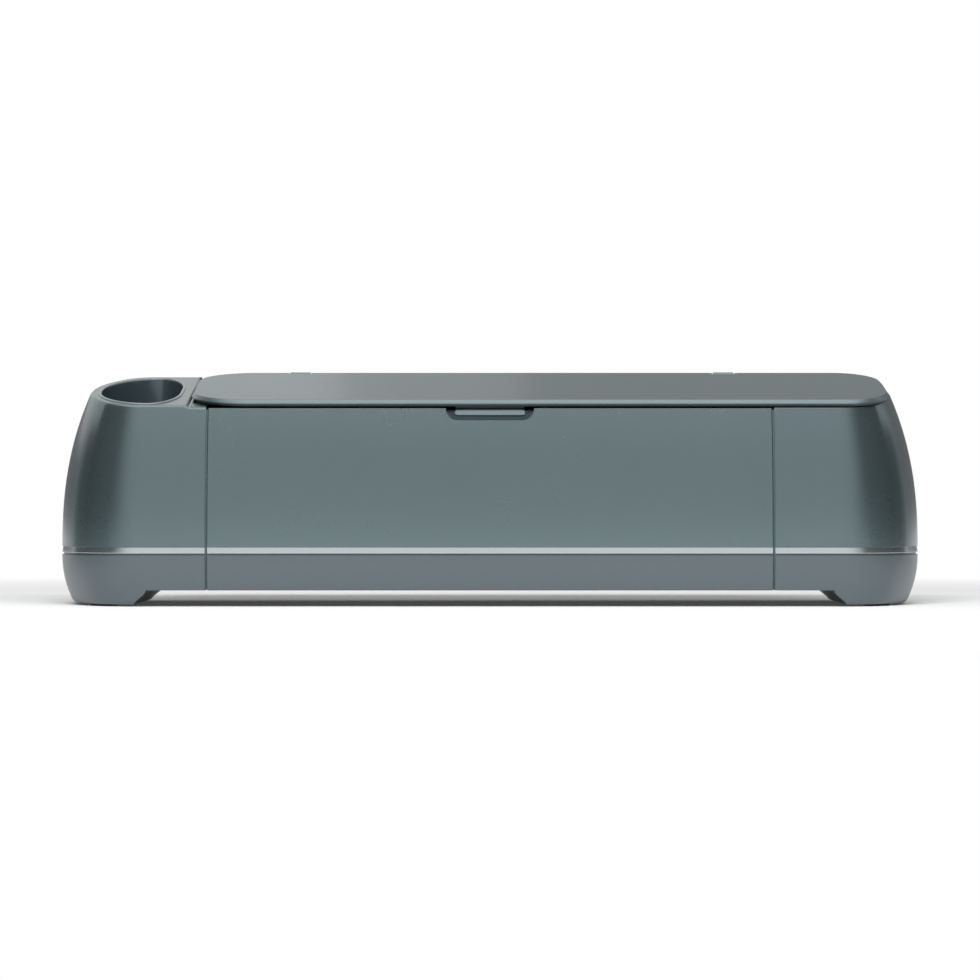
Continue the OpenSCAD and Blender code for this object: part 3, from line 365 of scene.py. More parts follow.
@dataclass(frozen=True)
class CasingForm:
    """The casing's outer form: a rounded outline that draws in above and below its waist."""

    half_w: float = 0.287
    half_d: float = 0.090
    corner_r: float = 0.045
    corner_x: float = 0.229
    frame_corner_r: float = 0.060
    crown_inset: float = 0.020
    crown_z: float = 0.143
    crown_power: float = 2.4
    waist_top: float = 0.037
    waist_low: float = 0.033
    foot_inset: float = 0.0085
    foot_power: float = 2.1
    foot_edge_r: float = 0.004
    top_z: float = 0.147
    slope: float = math.radians(8.78)
    wall: float = 0.0026
    belly_z: float = 0.0107
    groove_z: float = 0.0335
    roof_z: float = 0.1300
    band_z: float = 0.0349
    band_top: float = 0.039
    band_lean: float = 0.0006
    groove_d: float = 0.0012
    seam_x: float = 0.1862
    deck_drop: float = 0.0036
    rim_drop: float = 0.0050
    roof_drop: float = 0.0076

    def inset(self, z: float) -> float:
        """How far the skin lies inside the waist outline at height z."""
        if z > self.waist_top:
            rise = (min(z, self.crown_z) - self.waist_top) / (self.crown_z - self.waist_top)
            return self.crown_inset * rise**self.crown_power + 0.1 * max(0.0, z - self.crown_z)
        if z < self.waist_low:
            edge = max(0.0, 1 - z / self.foot_edge_r)
            return (
                self.foot_inset * ((self.waist_low - z) / self.waist_low) ** self.foot_power
                + self.foot_edge_r * (1 - math.sqrt(1 - edge * edge))
            )
        return 0.0

    def plane_z(self, y: float, drop: float) -> float:
        """Height, at depth y, of the plane that lies drop under the lid's top."""
        return self.top_z - drop + y * math.tan(self.slope)

    def tilt(self) -> Matrix:
        """Places the lid's sloping frame in the row frame."""
        return Matrix.Translation((0, 0, self.top_z)) @ Matrix.Rotation(self.slope, 4, "X")

    @property
    def end_x(self) -> float:
        """Centre of the end's large arc, which touches both corner arcs."""
        far, deep = self.half_w - self.corner_r, self.half_d - self.corner_r
        return (far * far - self.corner_x**2 - deep * deep) / (2 * (far - self.corner_x))

    @property
    def end_lean(self) -> float:
        """Angle from the X axis at which the large arc meets a corner arc."""
        return math.atan2(self.half_d - self.corner_r, self.corner_x - self.end_x)

    def outline_x(self, y: float, inset: float) -> float:
        """Half width, at depth y, of the waist outline drawn in by inset."""
        large, small = self.half_w - self.end_x - inset, max(0.001, self.corner_r - inset)
        if abs(y) <= large * math.sin(self.end_lean):
            return self.end_x + math.sqrt(large * large - y * y)
        run = abs(y) - (self.half_d - self.corner_r)
        return self.corner_x + math.sqrt(max(0.0, small * small - run * run))

    def eased(self, p: Vector) -> Vector:
        """A point of a frame solid, moved in with the casing's rounder ends."""
        r = self.frame_corner_r
        across = abs(p.x) - (self.half_w - r)
        if across <= 0:
            return p.copy()
        depth = r - math.hypot(across, max(0.0, abs(p.y) - (self.half_d - r)))
        shift = min(0.0, self.outline_x(p.y, max(0.0, depth)) - abs(p.x))
        share = min(1.0, max(0.0, (0.055 - depth) / 0.02))
        return Vector((p.x + math.copysign(1.0, p.x) * shift * share, p.y, p.z))

    def front(self, x: float) -> Station:
        """A place on the straight front."""
        return (x, -self.half_d, 0.0, -1.0)

    def back(self, x: float) -> Station:
        """A place on the straight back."""
        return (x, self.half_d, 0.0, 1.0)

    def round_end(self, side: int, xs: Sequence[float], steps: int = 20) -> list[Station]:
        """Places from the front, round one end, to the back.

        Args:
            side: -1 for the left end, 1 for the right.
            xs: distances from the middle of the places on the straight stretches, rising.
            steps: segments round each corner.

        Returns:
            The places.
        """
        small, large = self.corner_r, self.half_w - self.end_x
        turns = []
        for a in spread(0.0, math.pi / 2 - self.end_lean, steps):
            nx, ny = side * math.sin(a), -math.cos(a)
            turns.append((side * self.corner_x + nx * small, small - self.half_d + ny * small, nx, ny))
        for a in spread(self.end_lean, 0.0, steps // 2)[1:]:
            nx, ny = side * math.cos(a), -math.sin(a)
            turns.append((side * self.end_x + nx * large, ny * large, nx, ny))
        behind = [(x, -y, nx, -ny) for x, y, nx, ny in reversed(turns[:-1])]
        return (
            [self.front(side * x) for x in xs]
            + turns
            + behind
            + [self.back(side * x) for x in reversed(xs)]
        )

    def at(self, place: Station, inset: float, z: float) -> Vector:
        """The point at a place, drawn in by inset, at height z."""
        return Vector((place[0] - place[2] * inset, place[1] - place[3] * inset, z))

    def skin(self, place: Station, z: float, extra: float = 0.0) -> Vector:
        """The point on the skin at a place and height, drawn in by extra."""
        return self.at(place, self.inset(z) + extra, z)

    def brink(self, place: Station, drop: float) -> Vector:
        """Where the skin meets the plane that lies drop under the lid's top."""
        z = self.top_z
        for _ in range(12):
            z = self.plane_z(self.skin(place, z).y, drop)
        return self.skin(place, z)

    def on_plane(self, place: Station, inset: float, drop: float) -> Vector:
        """A point on that plane, at a place drawn in by inset."""
        p = self.at(place, inset, 0.0)
        p.z = self.plane_z(p.y, drop)
        return p

    def wall_column(
        self,
        place: Station,
        low: float,
        drop: float,
        fillet: float,
        opening: tuple[float, float] | None = None,
    ) -> list[Vector]:
        """Points up the skin and over a rounded brink onto the top plane.

        Args:
            place: where on the outline.
            low: height of the lowest point.
            drop: how far the top plane lies under the lid's top.
            fillet: size of the rounding.
            opening: heights that get rows of their own, where the wall is cut.

        Returns:
            The points, from the bottom up and inwards.
        """
        brink = self.brink(place, drop)
        split = brink.z - 0.012
        shoulder = brink.z - fillet
        heights = spread(low, split, 22)
        if opening is not None:
            heights = spread(low, opening[0], 2)[:-1] + spread(*opening, 7)[:-1]
            heights += spread(opening[1], split, 13)
        column = [self.skin(place, z) for z in heights]
        column += [self.skin(place, z) for z in spread(split, shoulder, 6)[1:]]
        start, end = column[-1], self.on_plane(place, self.inset(brink.z) + fillet, drop)
        for i in range(1, 7):
            t = i / 6
            column.append(start * (1 - t) ** 2 + brink * (2 * t * (1 - t)) + end * t * t)
        column.append(self.on_plane(place, self.inset(brink.z) + fillet + SUPPORT, drop))
        return column


FORM = CasingForm()


# ---------------------------------------------------------------- shader groups


class Wiring:
    """Shorthand for laying out one node tree."""

    def __init__(self, tree: bpy.types.NodeTree) -> None:
        """Works in the given tree."""
        self.tree = tree

    def node(self, kind: str, **settings: object) -> bpy.types.Node:
        """Adds a node and sets its properties."""
        made = self.tree.nodes.new(kind)
        for key, value in settings.items():
            setattr(made, key, value)
        return made

    def join(self, source: bpy.types.NodeSocket, target: bpy.types.NodeSocket) -> None:
        """Links two sockets."""
        self.tree.links.new(source, target)

    def feed(self, value: object, target: bpy.types.NodeSocket) -> None:
        """Links a socket to the target, or sets the target to a plain value."""
        if isinstance(value, bpy.types.NodeSocket):
            self.join(value, target)
        else:
            target.default_value = value

    def math(self, operation: str, a: object, b: object = 0.0) -> bpy.types.NodeSocket:
        """Adds a Math node.

        Args:
            operation: its operation.
            a: first input, a socket or a number.
            b: second input, a socket or a number.

        Returns:
            Its output.
        """
        made = self.node("ShaderNodeMath", operation=operation)
        for socket, value in zip(made.inputs, (a, b)):
            self.feed(value, socket)
        return made.outputs[0]

    def ramp(
        self,
        value: bpy.types.NodeSocket,
        low: object,
        high: object,
        span: tuple[float, float] = (0.3, 0.7),
    ) -> bpy.types.NodeSocket:
        """Maps a noise value onto a range.

        Args:
            value: the noise.
            low: result at the span's low end, a socket or a number.
            high: result at its high end, a socket or a number.
            span: the part of the noise that is used.

        Returns:
            The mapped value.
        """
        made = self.node("ShaderNodeMapRange")
        self.join(value, made.inputs["Value"])
        made.inputs["From Min"].default_value, made.inputs["From Max"].default_value = span
        self.feed(low, made.inputs["To Min"])
        self.feed(high, made.inputs["To Max"])
        return made.outputs["Result"]

    def noise(
        self, vector: bpy.types.NodeSocket, scale: object, detail: float = 2.0
    ) -> bpy.types.NodeSocket:
        """Adds a noise texture and returns its value."""
        made = self.node("ShaderNodeTexNoise")
        made.inputs["Detail"].default_value = detail
        self.join(vector, made.inputs["Vector"])
        self.feed(scale, made.inputs["Scale"])
        return made.outputs["Fac"]

    def mix(self, share: object, low: object, high: object) -> bpy.types.NodeSocket:
        """Adds a mix of two values and returns the result."""
        made = self.node("ShaderNodeMix", data_type="FLOAT")
        for value, k in ((share, 0), (low, 2), (high, 3)):
            self.feed(value, made.inputs[k])
        return made.outputs[0]

    def group(
        self, tree: bpy.types.NodeTree, place: bpy.types.NodeSocket, values: dict[str, object]
    ) -> bpy.types.Node:
        """Adds a group node.

        Args:
            tree: the group's tree.
            place: what feeds its vector.
            values: its other inputs, by name.

        Returns:
            The node.
        """
        made = self.node("ShaderNodeGroup", node_tree=tree)
        self.join(place, made.inputs["Vector"])
        for key, value in values.items():
            made.inputs[key].default_value = value
        return made


def shader_group(
    name: str, inputs: dict[str, tuple[str, object]], outputs: dict[str, str]
) -> tuple[Wiring, bpy.types.Node, bpy.types.Node]:
    """Starts a shader node group.

    Args:
        name: the group's name.
        inputs: each input's name with its socket kind and default.
        outputs: each output's name with its socket kind.

    Returns:
        The wiring, the group's input node and its output node.
    """
    tree = bpy.data.node_groups.new(name, "ShaderNodeTree")
    for label, (kind, default) in inputs.items():
        socket = tree.interface.new_socket(label, in_out="INPUT", socket_type=f"NodeSocket{kind}")
        if default is not None:
            socket.default_value = default
    for label, kind in outputs.items():
        tree.interface.new_socket(label, in_out="OUTPUT", socket_type=f"NodeSocket{kind}")
    wiring = Wiring(tree)
    return wiring, wiring.node("NodeGroupInput"), wiring.node("NodeGroupOutput")


def tone_group() -> bpy.types.NodeTree:
    """A slow drift of tone over a surface, with a finer fleck inside it."""
    w, given, put = shader_group(
        "Tone drift",
        {
            "Vector": ("Vector", None),
            "Base": ("Color", (0.5, 0.5, 0.5, 1.0)),
            "Drift Scale": ("Float", 12.0),
            "Drift": ("Float", 0.04),
            "Fleck Scale": ("Float", 2200.0),
            "Fleck": ("Float", 0.05),
        },
        {"Color": "Color"},
    )
    gain: object = 1.0
    for scale, amount, detail in (("Drift Scale", "Drift", 3.0), ("Fleck Scale", "Fleck", 1.0)):
        value = w.noise(given.outputs["Vector"], given.outputs[scale], detail)
        both_ways = w.math("MULTIPLY", w.math("SUBTRACT", value, 0.5), 2.0)
        gain = w.math("ADD", gain, w.math("MULTIPLY", both_ways, given.outputs[amount]))
    shade = w.node("ShaderNodeVectorMath", operation="SCALE")
    w.join(given.outputs["Base"], shade.inputs[0])
    w.join(gain, shade.inputs["Scale"])
    w.join(shade.outputs[0], put.inputs["Color"])
    return w.tree


def grain_group() -> bpy.types.NodeTree:
    """A fine moulded or sprayed grain, with smudges that shift the gloss."""
    w, given, put = shader_group(
        "Fine grain",
        {
            "Vector": ("Vector", None),
            "Grain Scale": ("Float", 1500.0),
            "Roughness": ("Float", 0.4),
            "Smudge Scale": ("Float", 25.0),
            "Smudge": ("Float", 0.05),
        },
        {"Height": "Float", "Roughness": "Float"},
    )
    w.join(w.noise(given.outputs["Vector"], given.outputs["Grain Scale"], 3.0), put.inputs["Height"])
    smudge = w.noise(given.outputs["Vector"], given.outputs["Smudge Scale"], 4.0)
    swing = w.math("MULTIPLY", w.math("SUBTRACT", smudge, 0.5), given.outputs["Smudge"])
    w.join(w.math("ADD", given.outputs["Roughness"], swing), put.inputs["Roughness"])
    return w.tree


def brushed_group() -> bpy.types.NodeTree:
    """Fine lines along X, as on drawn or ground metal."""
    w, given, put = shader_group(
        "Brushed lines",
        {
            "Vector": ("Vector", None),
            "Lines": ("Float", 900.0),
            "Roughness": ("Float", 0.3),
            "Swing": ("Float", 0.12),
        },
        {"Height": "Float", "Roughness": "Float"},
    )
    stretch = w.node("ShaderNodeVectorMath", operation="MULTIPLY")
    stretch.inputs[1].default_value = (0.03, 1.0, 1.0)
    w.join(given.outputs["Vector"], stretch.inputs[0])
    lines = w.noise(stretch.outputs[0], given.outputs["Lines"], 4.0)
    w.join(lines, put.inputs["Height"])
    swing = w.math("MULTIPLY", w.math("SUBTRACT", lines, 0.5), given.outputs["Swing"])
    w.join(w.math("ADD", given.outputs["Roughness"], swing), put.inputs["Roughness"])
    return w.tree


def track_group() -> bpy.types.NodeTree:
    """Copper tracks under the lacquer of a circuit board."""
    w, given, put = shader_group(
        "Board tracks",
        {
            "Vector": ("Vector", None),
            "Lacquer": ("Color", (0.02, 0.12, 0.06, 1.0)),
            "Track": ("Color", (0.05, 0.22, 0.10, 1.0)),
            "Pitch Scale": ("Float", 420.0),
        },
        {"Color": "Color", "Height": "Float"},
    )
    cells = w.node("ShaderNodeTexVoronoi", feature="DISTANCE_TO_EDGE", distance="EUCLIDEAN")
    w.join(given.outputs["Vector"], cells.inputs["Vector"])
    w.join(given.outputs["Pitch Scale"], cells.inputs["Scale"])
    mask = w.ramp(cells.outputs["Distance"], 1.0, 0.0, (0.06, 0.10))
    mix = w.node("ShaderNodeMix", data_type="RGBA")
    w.join(mask, mix.inputs["Factor"])
    w.join(given.outputs["Lacquer"], mix.inputs["A"])
    w.join(given.outputs["Track"], mix.inputs["B"])
    w.join(mix.outputs["Result"], put.inputs["Color"])
    w.join(mask, put.inputs["Height"])
    return w.tree


class Pattern(Enum):
    """The surface structures that finishes choose from."""

    GRAIN = "grain"
    BRUSHED = "brushed"
    TRACKS = "tracks"


@dataclass
class Shaders:
    """The shader groups that the materials share."""

    tone: bpy.types.NodeTree = field(default_factory=tone_group)
    grain: bpy.types.NodeTree = field(default_factory=grain_group)
    brushed: bpy.types.NodeTree = field(default_factory=brushed_group)
    tracks: bpy.types.NodeTree = field(default_factory=track_group)


SHADERS = Shaders()


def linear(level: float) -> float:
    """A screen level from 0 to 255 as a linear one."""
    c = level / 255
    return c / 12.92 if c <= 0.04045 else ((c + 0.055) / 1.055) ** 2.4


@dataclass(frozen=True)
class Finish:
    """One surface finish, made into a material when it is first used."""

    name: str
    screen: tuple[int, int, int]
    roughness: float = 0.45
    metallic: float = 0.0
    coat: float = 0.0
    pattern: Pattern = Pattern.GRAIN
    scale: float = 1500.0
    depth: float = 0.00001
    drift: float = 0.03
    fleck: float = 0.03
    smudge: float = 0.08
    glow: float = 0.0

    def material(self) -> bpy.types.Material:
        """The finish's material."""
        known = bpy.data.materials.get(self.name)
        if known is not None:
            return known
        made = bpy.data.materials.new(self.name)
        made.use_nodes = True
        made.node_tree.nodes.clear()
        w = Wiring(made.node_tree)
        place = w.node("ShaderNodeTexCoord").outputs["Object"]
        shader = w.node("ShaderNodeBsdfPrincipled")
        colour = (*[linear(level) for level in self.screen], 1.0)
        shader.inputs["Base Color"].default_value = colour
        shader.inputs["Metallic"].default_value = self.metallic
        shader.inputs["Coat Weight"].default_value = self.coat
        shader.inputs["Coat Roughness"].default_value = 0.12
        if self.glow:
            shader.inputs["Emission Color"].default_value = colour
            shader.inputs["Emission Strength"].default_value = self.glow
        height = self._surface(w, place, shader, colour)
        bump = w.node("ShaderNodeBump")
        bump.inputs["Distance"].default_value = self.depth
        w.join(height, bump.inputs["Height"])
        w.join(bump.outputs["Normal"], shader.inputs["Normal"])
        w.join(shader.outputs["BSDF"], w.node("ShaderNodeOutputMaterial").inputs["Surface"])
        return made

    def _surface(
        self,
        w: Wiring,
        place: bpy.types.NodeSocket,
        shader: bpy.types.Node,
        colour: tuple[float, ...],
    ) -> bpy.types.NodeSocket:
        """Places the groups of the finish's pattern.

        Args:
            w: the material's wiring.
            place: object coordinates.
            shader: the Principled shader.
            colour: the linear base colour.

        Returns:
            The height that feeds the bump.
        """
        if self.pattern is Pattern.TRACKS:
            track = (*[min(1.0, 1.7 * c + 0.01) for c in colour[:3]], 1.0)
            values = {"Lacquer": colour, "Track": track, "Pitch Scale": self.scale}
            tracks = w.group(SHADERS.tracks, place, values)
            shader.inputs["Roughness"].default_value = self.roughness
            w.join(tracks.outputs["Color"], shader.inputs["Base Color"])
            return tracks.outputs["Height"]
        values = {"Base": colour, "Drift": self.drift, "Fleck": self.fleck}
        tone = w.group(SHADERS.tone, place, values)
        w.join(tone.outputs["Color"], shader.inputs["Base Color"])
        if self.pattern is Pattern.BRUSHED:
            values = {"Lines": self.scale, "Roughness": self.roughness}
            relief = w.group(SHADERS.brushed, place, values)
        else:
            values = {
                "Grain Scale": self.scale,
                "Roughness": self.roughness,
                "Smudge": self.smudge,
            }
            relief = w.group(SHADERS.grain, place, values)
        w.join(relief.outputs["Roughness"], shader.inputs["Roughness"])
        return relief.outputs["Height"]


def satin(
    name: str, screen: tuple[int, int, int], roughness: float, metallic: float, coat: float = 0.15
) -> Finish:
    """A satin paint with a fine metal flake."""
    return Finish(
        name, screen, roughness, metallic, coat, scale=700, depth=2e-7, fleck=0.015, smudge=0.03
    )


class Coat:
    """The finishes of the machine, by what they cover."""

    SHELL = satin("Satin shell paint", (109, 126, 129), 0.27, 0.85)
    LID = satin("Satin lid paint", (115, 131, 135), 0.33, 0.80)
    STRIP = satin("Satin base paint", (88, 98, 103), 0.34, 0.42, 0.05)
    BAND = Finish(
        "Bright metal band", (216, 224, 227), 0.20, 0.95, 0.0, Pattern.BRUSHED, 1400, 2e-6, fleck=0.02
    )
    CUP = Finish("Deep grey cup plastic", (84, 98, 103), 0.24, 0.7, 0.10, scale=700, depth=4e-7)
    # Pale grey that paints the highlight along the cup's lip.
    RIM_HIGHLIGHT = Finish("Pale cup rim", (140, 151, 154), 0.34, 0.5, 0.1, scale=2400, depth=2e-6)
    # Liner grey made darker than the liner plastic: painted shade for the gap under the lid's front edge,
    # shared by both liners.
    SHADED_LINER = Finish("Deep liner grey", (60, 74, 78), 0.5, 0.0, 0.05, scale=1400, depth=6e-6)
    POCKET = Finish("Pocket shade grey", (46, 61, 65), 0.6, 0.0, 0.0, scale=1400, depth=4e-6)
    LIP = Finish("Satin lip paint", (112, 130, 134), 0.35, 0.3, 0.1, scale=700, depth=2e-7)
    LINER = Finish("Inner grey plastic", (96, 107, 111), 0.5, 0.0, 0.05, scale=1400, depth=1.2e-5)
    SEAM = Finish("Seam shadow grey", (74, 92, 94), 0.6, 0.0, 0.0, scale=1400, depth=4e-6)
    # Real dark plastic for the ports and mat guides; on the band under the lid's edge the same dark grey
    # is painted shade for the gap under the lid.
    DARK_AND_GAP_SHADE = Finish("Inner dark plastic", (40, 45, 47), 0.55, 0.0, 0.0, scale=1400, depth=1.4e-5)
    GLOSS = Finish("Gloss black panel", (18, 21, 22), 0.12, 0.0, 0.8, scale=900, depth=1e-6, smudge=0.10)
    RUBBER = Finish("Soft rubber", (34, 36, 37), 0.78, 0.0, 0.0, scale=1100, depth=2.4e-5)
    LENS = Finish("Frosted light lens", (222, 232, 234), 0.35, 0.0, 0.3, scale=1600, depth=4e-6, glow=0.25)
    BOARD = Finish("Green circuit board", (32, 84, 50), 0.35, 0.0, 0.3, Pattern.TRACKS, 420, 1.5e-5)
    SCREW = Finish("Zinc screw", (176, 178, 180), 0.30, 0.9, 0.0, Pattern.BRUSHED, 2400, 3e-6)
    SOCKET = Finish("Nickel socket", (182, 184, 186), 0.24, 0.9, 0.0, Pattern.BRUSHED, 1800, 2e-6)
    FRAME = Finish(
        "Zinc-plated frame", (158, 163, 167), 0.36, 0.85, 0.0, Pattern.BRUSHED, 700, 4e-6, drift=0.08
    )
    BRONZE = Finish("Sintered bronze", (148, 112, 68), 0.42, 0.85, 0.0, scale=1900, depth=8e-6, drift=0.06)
    RAIL = Finish("Drawn aluminium", (178, 183, 186), 0.32, 0.9, 0.0, Pattern.BRUSHED, 1100, 3e-6)
    GROUND = Finish("Ground steel", (196, 199, 201), 0.16, 0.95, 0.0, Pattern.BRUSHED, 1800, 1e-6)
    BELT = Finish("Black belt rubber", (28, 29, 30), 0.7, 0.0, 0.0, scale=1500, depth=2.0e-5)
    MOTOR = Finish("Black motor steel", (36, 38, 40), 0.38, 0.55, 0.1, scale=1600, depth=5e-6)
    KEY = Finish("Silver key paint", (190, 196, 198), 0.28, 0.5, 0.3, scale=2600, depth=2e-6, fleck=0.05)
    GO = Finish("Green key paint", (104, 178, 160), 0.28, 0.35, 0.3, scale=2600, depth=2e-6, fleck=0.05)
    MARK = Finish("Dark key inlay", (38, 44, 46), 0.4, 0.0, 0.1, scale=1600, depth=3e-6)
    GRIT = Finish(
        "Bonded grit", (58, 60, 60), 0.82, 0.0, 0.0, scale=2600, depth=9e-5, drift=0.05, fleck=0.25
    )
    NYLON = Finish("Natural nylon", (226, 222, 208), 0.45, 0.0, 0.05, scale=1300, depth=6e-6)
    BRASS = Finish("Brass", (196, 164, 92), 0.28, 0.9, 0.0, Pattern.BRUSHED, 2000, 2e-6)
    ROLL = Finish("Roll rubber", (52, 54, 55), 0.72, 0.0, 0.0, scale=1300, depth=2.2e-5)
    WHITE = Finish("White acetal", (208, 209, 206), 0.4, 0.0, 0.1, scale=1300, depth=5e-6)
    CARRIAGE = Finish("Carriage grey plastic", (120, 131, 135), 0.42, 0.0, 0.1, scale=1500, depth=8e-6)
    SLIDE = Finish("Light slide plastic", (178, 185, 188), 0.4, 0.0, 0.1, scale=1500, depth=7e-6)
    HOUSING = Finish("Anodised housing", (146, 157, 162), 0.28, 0.8, 0.1, Pattern.BRUSHED, 1500, 3e-6)


def dress(obj: bpy.types.Object, finish: Finish) -> None:
    """Gives an object one finish all over."""
    obj.data.materials.clear()
    obj.data.materials.append(finish.material())


def fit(obj: bpy.types.Object, finish: Finish, body: str, slot: str, *nodes: str) -> bpy.types.Object:
    """Dresses a piece and ties it to the frame.

    Args:
        obj: the finished piece.
        finish: its finish.
        body: the body that it rides on.
        slot: not used.
        nodes: the CAD nodes that it replaces.

    Returns:
        The piece.
    """
    dress(obj, finish)
    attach(obj, body)
    if nodes:
        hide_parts(*nodes)
    LOG.info("%s: %d faces, on %s", obj.name, len(obj.data.polygons), body)
    return obj


def drawn(
    draft: Draft, name: str, edges: Edges, finish: Finish, body: str, slot: str, *nodes: str
) -> bpy.types.Object:
    """Makes a piece from a closed drawing, finishes it and ties it to the frame.

    Args:
        draft: the drawing.
        name: the piece's name.
        edges: the wall and edge sizes.
        finish: its finish.
        body: the body that it rides on.
        slot: the record's material slot.
        nodes: the CAD nodes that it replaces.

    Returns:
        The piece.
    """
    return fit(finished(name, draft.mesh(name), edges), finish, body, slot, *nodes)


def sweep(draft: Draft, sections: Sequence[Sequence[Point]]) -> None:
    """Draws a closed bar through like sections, with both ends capped.

    Args:
        draft: the drawing.
        sections: the bar's sections in order, each a loop of points.
    """
    rows = draft.grid(sections)
    draft.cap(rows[0])
    draft.cap(rows[-1])
    draft.strip([row[-1] for row in rows], [row[0] for row in rows])


def band(name: str, body: str, runs: Sequence[Sequence[Station]], depth: float, node: str) -> None:
    """Builds the bright band along places on the waist, with the groove under it.

    Args:
        name: the piece's name.
        body: the body that it rides on.
        runs: where it runs, one list of places for each stretch.
        depth: its depth behind the skin.
        node: the CAD node that it replaces.
    """
    f = FORM
    profile = [
        (f.groove_d, f.groove_z),
        (f.groove_d, f.band_z - 0.0003),
        (0.0003, f.band_z - 0.0001),
        (0.0, f.band_z + 0.0003),
        (f.band_lean, f.band_top - 0.0004),
        (f.band_lean + 0.0001, f.band_top - 0.0001),
        (f.band_lean + 0.0004, f.band_top),
        (depth, f.band_top),
        (depth, f.groove_z),
    ]
    draft = Draft()
    for places in runs:
        sweep(draft, [[f.at(place, inset, z) for inset, z in profile] for place in places])
    edges = Edges(bevel=0.0, smooth_angle=50)
    trim = drawn(draft, name, edges, Coat.BAND, body, "bright_band", node)
    trim.data.materials.append(Coat.STRIP.material())
    for face in trim.data.polygons:
        if face.center.z < f.band_z - 0.0002:
            face.material_index = 1


# ---------------------------------------------------------------- repeated shapes


@dataclass(frozen=True)
class Spot:
    """Where one copy of a repeated shape sits: its place, turn and size."""

    place: Point
    turn: Point = (0.0, 0.0, 0.0)
    size: float = 1.0


def four_spots(place: Point, size: float = 1.0) -> list[Spot]:
    """A spot at the place and at its mirror images, left to right and front to back."""
    x, y, z = place
    return [Spot((i * x, j * y, z), size=size) for i in (-1, 1) for j in (-1, 1)]


def repeat_tree() -> bpy.types.NodeTree:
    """A geometry tree that sets a shape on every point, spins it at random and joins the copies."""
    tree = bpy.data.node_groups.new("Repeated shape", "GeometryNodeTree")
    kinds = {"Points": "Geometry", "Shape": "Object", "Finish": "Material", "Spin": "Float", "Seed": "Int"}
    for label, kind in kinds.items():
        tree.interface.new_socket(label, in_out="INPUT", socket_type=f"NodeSocket{kind}")
    tree.interface.new_socket("Copies", in_out="OUTPUT", socket_type="NodeSocketGeometry")
    w = Wiring(tree)
    given, put = w.node("NodeGroupInput"), w.node("NodeGroupOutput")
    shape = w.node("GeometryNodeObjectInfo")
    w.join(given.outputs["Shape"], shape.inputs["Object"])
    copies = w.node("GeometryNodeInstanceOnPoints")
    w.join(given.outputs["Points"], copies.inputs["Points"])
    w.join(shape.outputs["Geometry"], copies.inputs["Instance"])
    for label, kind, socket in (("turn", "FLOAT_VECTOR", "Rotation"), ("size", "FLOAT", "Scale")):
        stored = w.node("GeometryNodeInputNamedAttribute", data_type=kind)
        stored.inputs["Name"].default_value = label
        w.join(stored.outputs[0], copies.inputs[socket])
    angle = w.node("FunctionNodeRandomValue", data_type="FLOAT")
    low, high = (s for s in angle.inputs if s.type == "VALUE" and s.name in ("Min", "Max"))
    low.default_value = 0.0
    w.join(given.outputs["Spin"], high)
    w.join(given.outputs["Seed"], angle.inputs["Seed"])
    about = w.node("ShaderNodeCombineXYZ")
    w.join(next(s for s in angle.outputs if s.type == "VALUE"), about.inputs["Z"])
    spun = w.node("GeometryNodeRotateInstances")
    w.join(copies.outputs["Instances"], spun.inputs["Instances"])
    w.join(about.outputs[0], spun.inputs["Rotation"])
    real = w.node("GeometryNodeRealizeInstances")
    w.join(spun.outputs["Instances"], real.inputs["Geometry"])
    painted = w.node("GeometryNodeSetMaterial")
    w.join(real.outputs["Geometry"], painted.inputs["Geometry"])
    w.join(given.outputs["Finish"], painted.inputs["Material"])
    w.join(painted.outputs["Geometry"], put.inputs["Copies"])
    return tree


def repeated(
    name: str, shape: bpy.types.Object, spots: Sequence[Spot], finish: Finish, spin: float = 0.0
) -> bpy.types.Object:
    """Sets copies of a shape on spots, as one plain mesh.

    Args:
        name: the piece's name.
        shape: the shape, which is removed afterwards.
        spots: where the copies sit.
        finish: their finish.
        spin: largest random turn about a copy's own axis.

    Returns:
        The piece.
    """
    cloud = bpy.data.meshes.new(name)
    cloud.from_pydata([tuple(spot.place) for spot in spots], [], [])
    sizes = cloud.attributes.new("size", "FLOAT", "POINT")
    turns = cloud.attributes.new("turn", "FLOAT_VECTOR", "POINT")
    for spot, size, turn in zip(spots, sizes.data, turns.data):
        size.value, turn.vector = spot.size, spot.turn
    obj = link(name, cloud)
    tree = bpy.data.node_groups.get("Repeated shape") or repeat_tree()
    copies = obj.modifiers.new("Copies", "NODES")
    copies.node_group = tree
    values = {"Shape": shape, "Finish": finish.material(), "Spin": spin, "Seed": REPEAT_SEED}
    for item in tree.interface.items_tree:
        if item.in_out == "INPUT" and item.name in values:
            copies[item.identifier] = values[item.name]
    bake(obj)
    bpy.data.objects.remove(shape)
    return obj


# ---------------------------------------------------------------- sub-assemblies


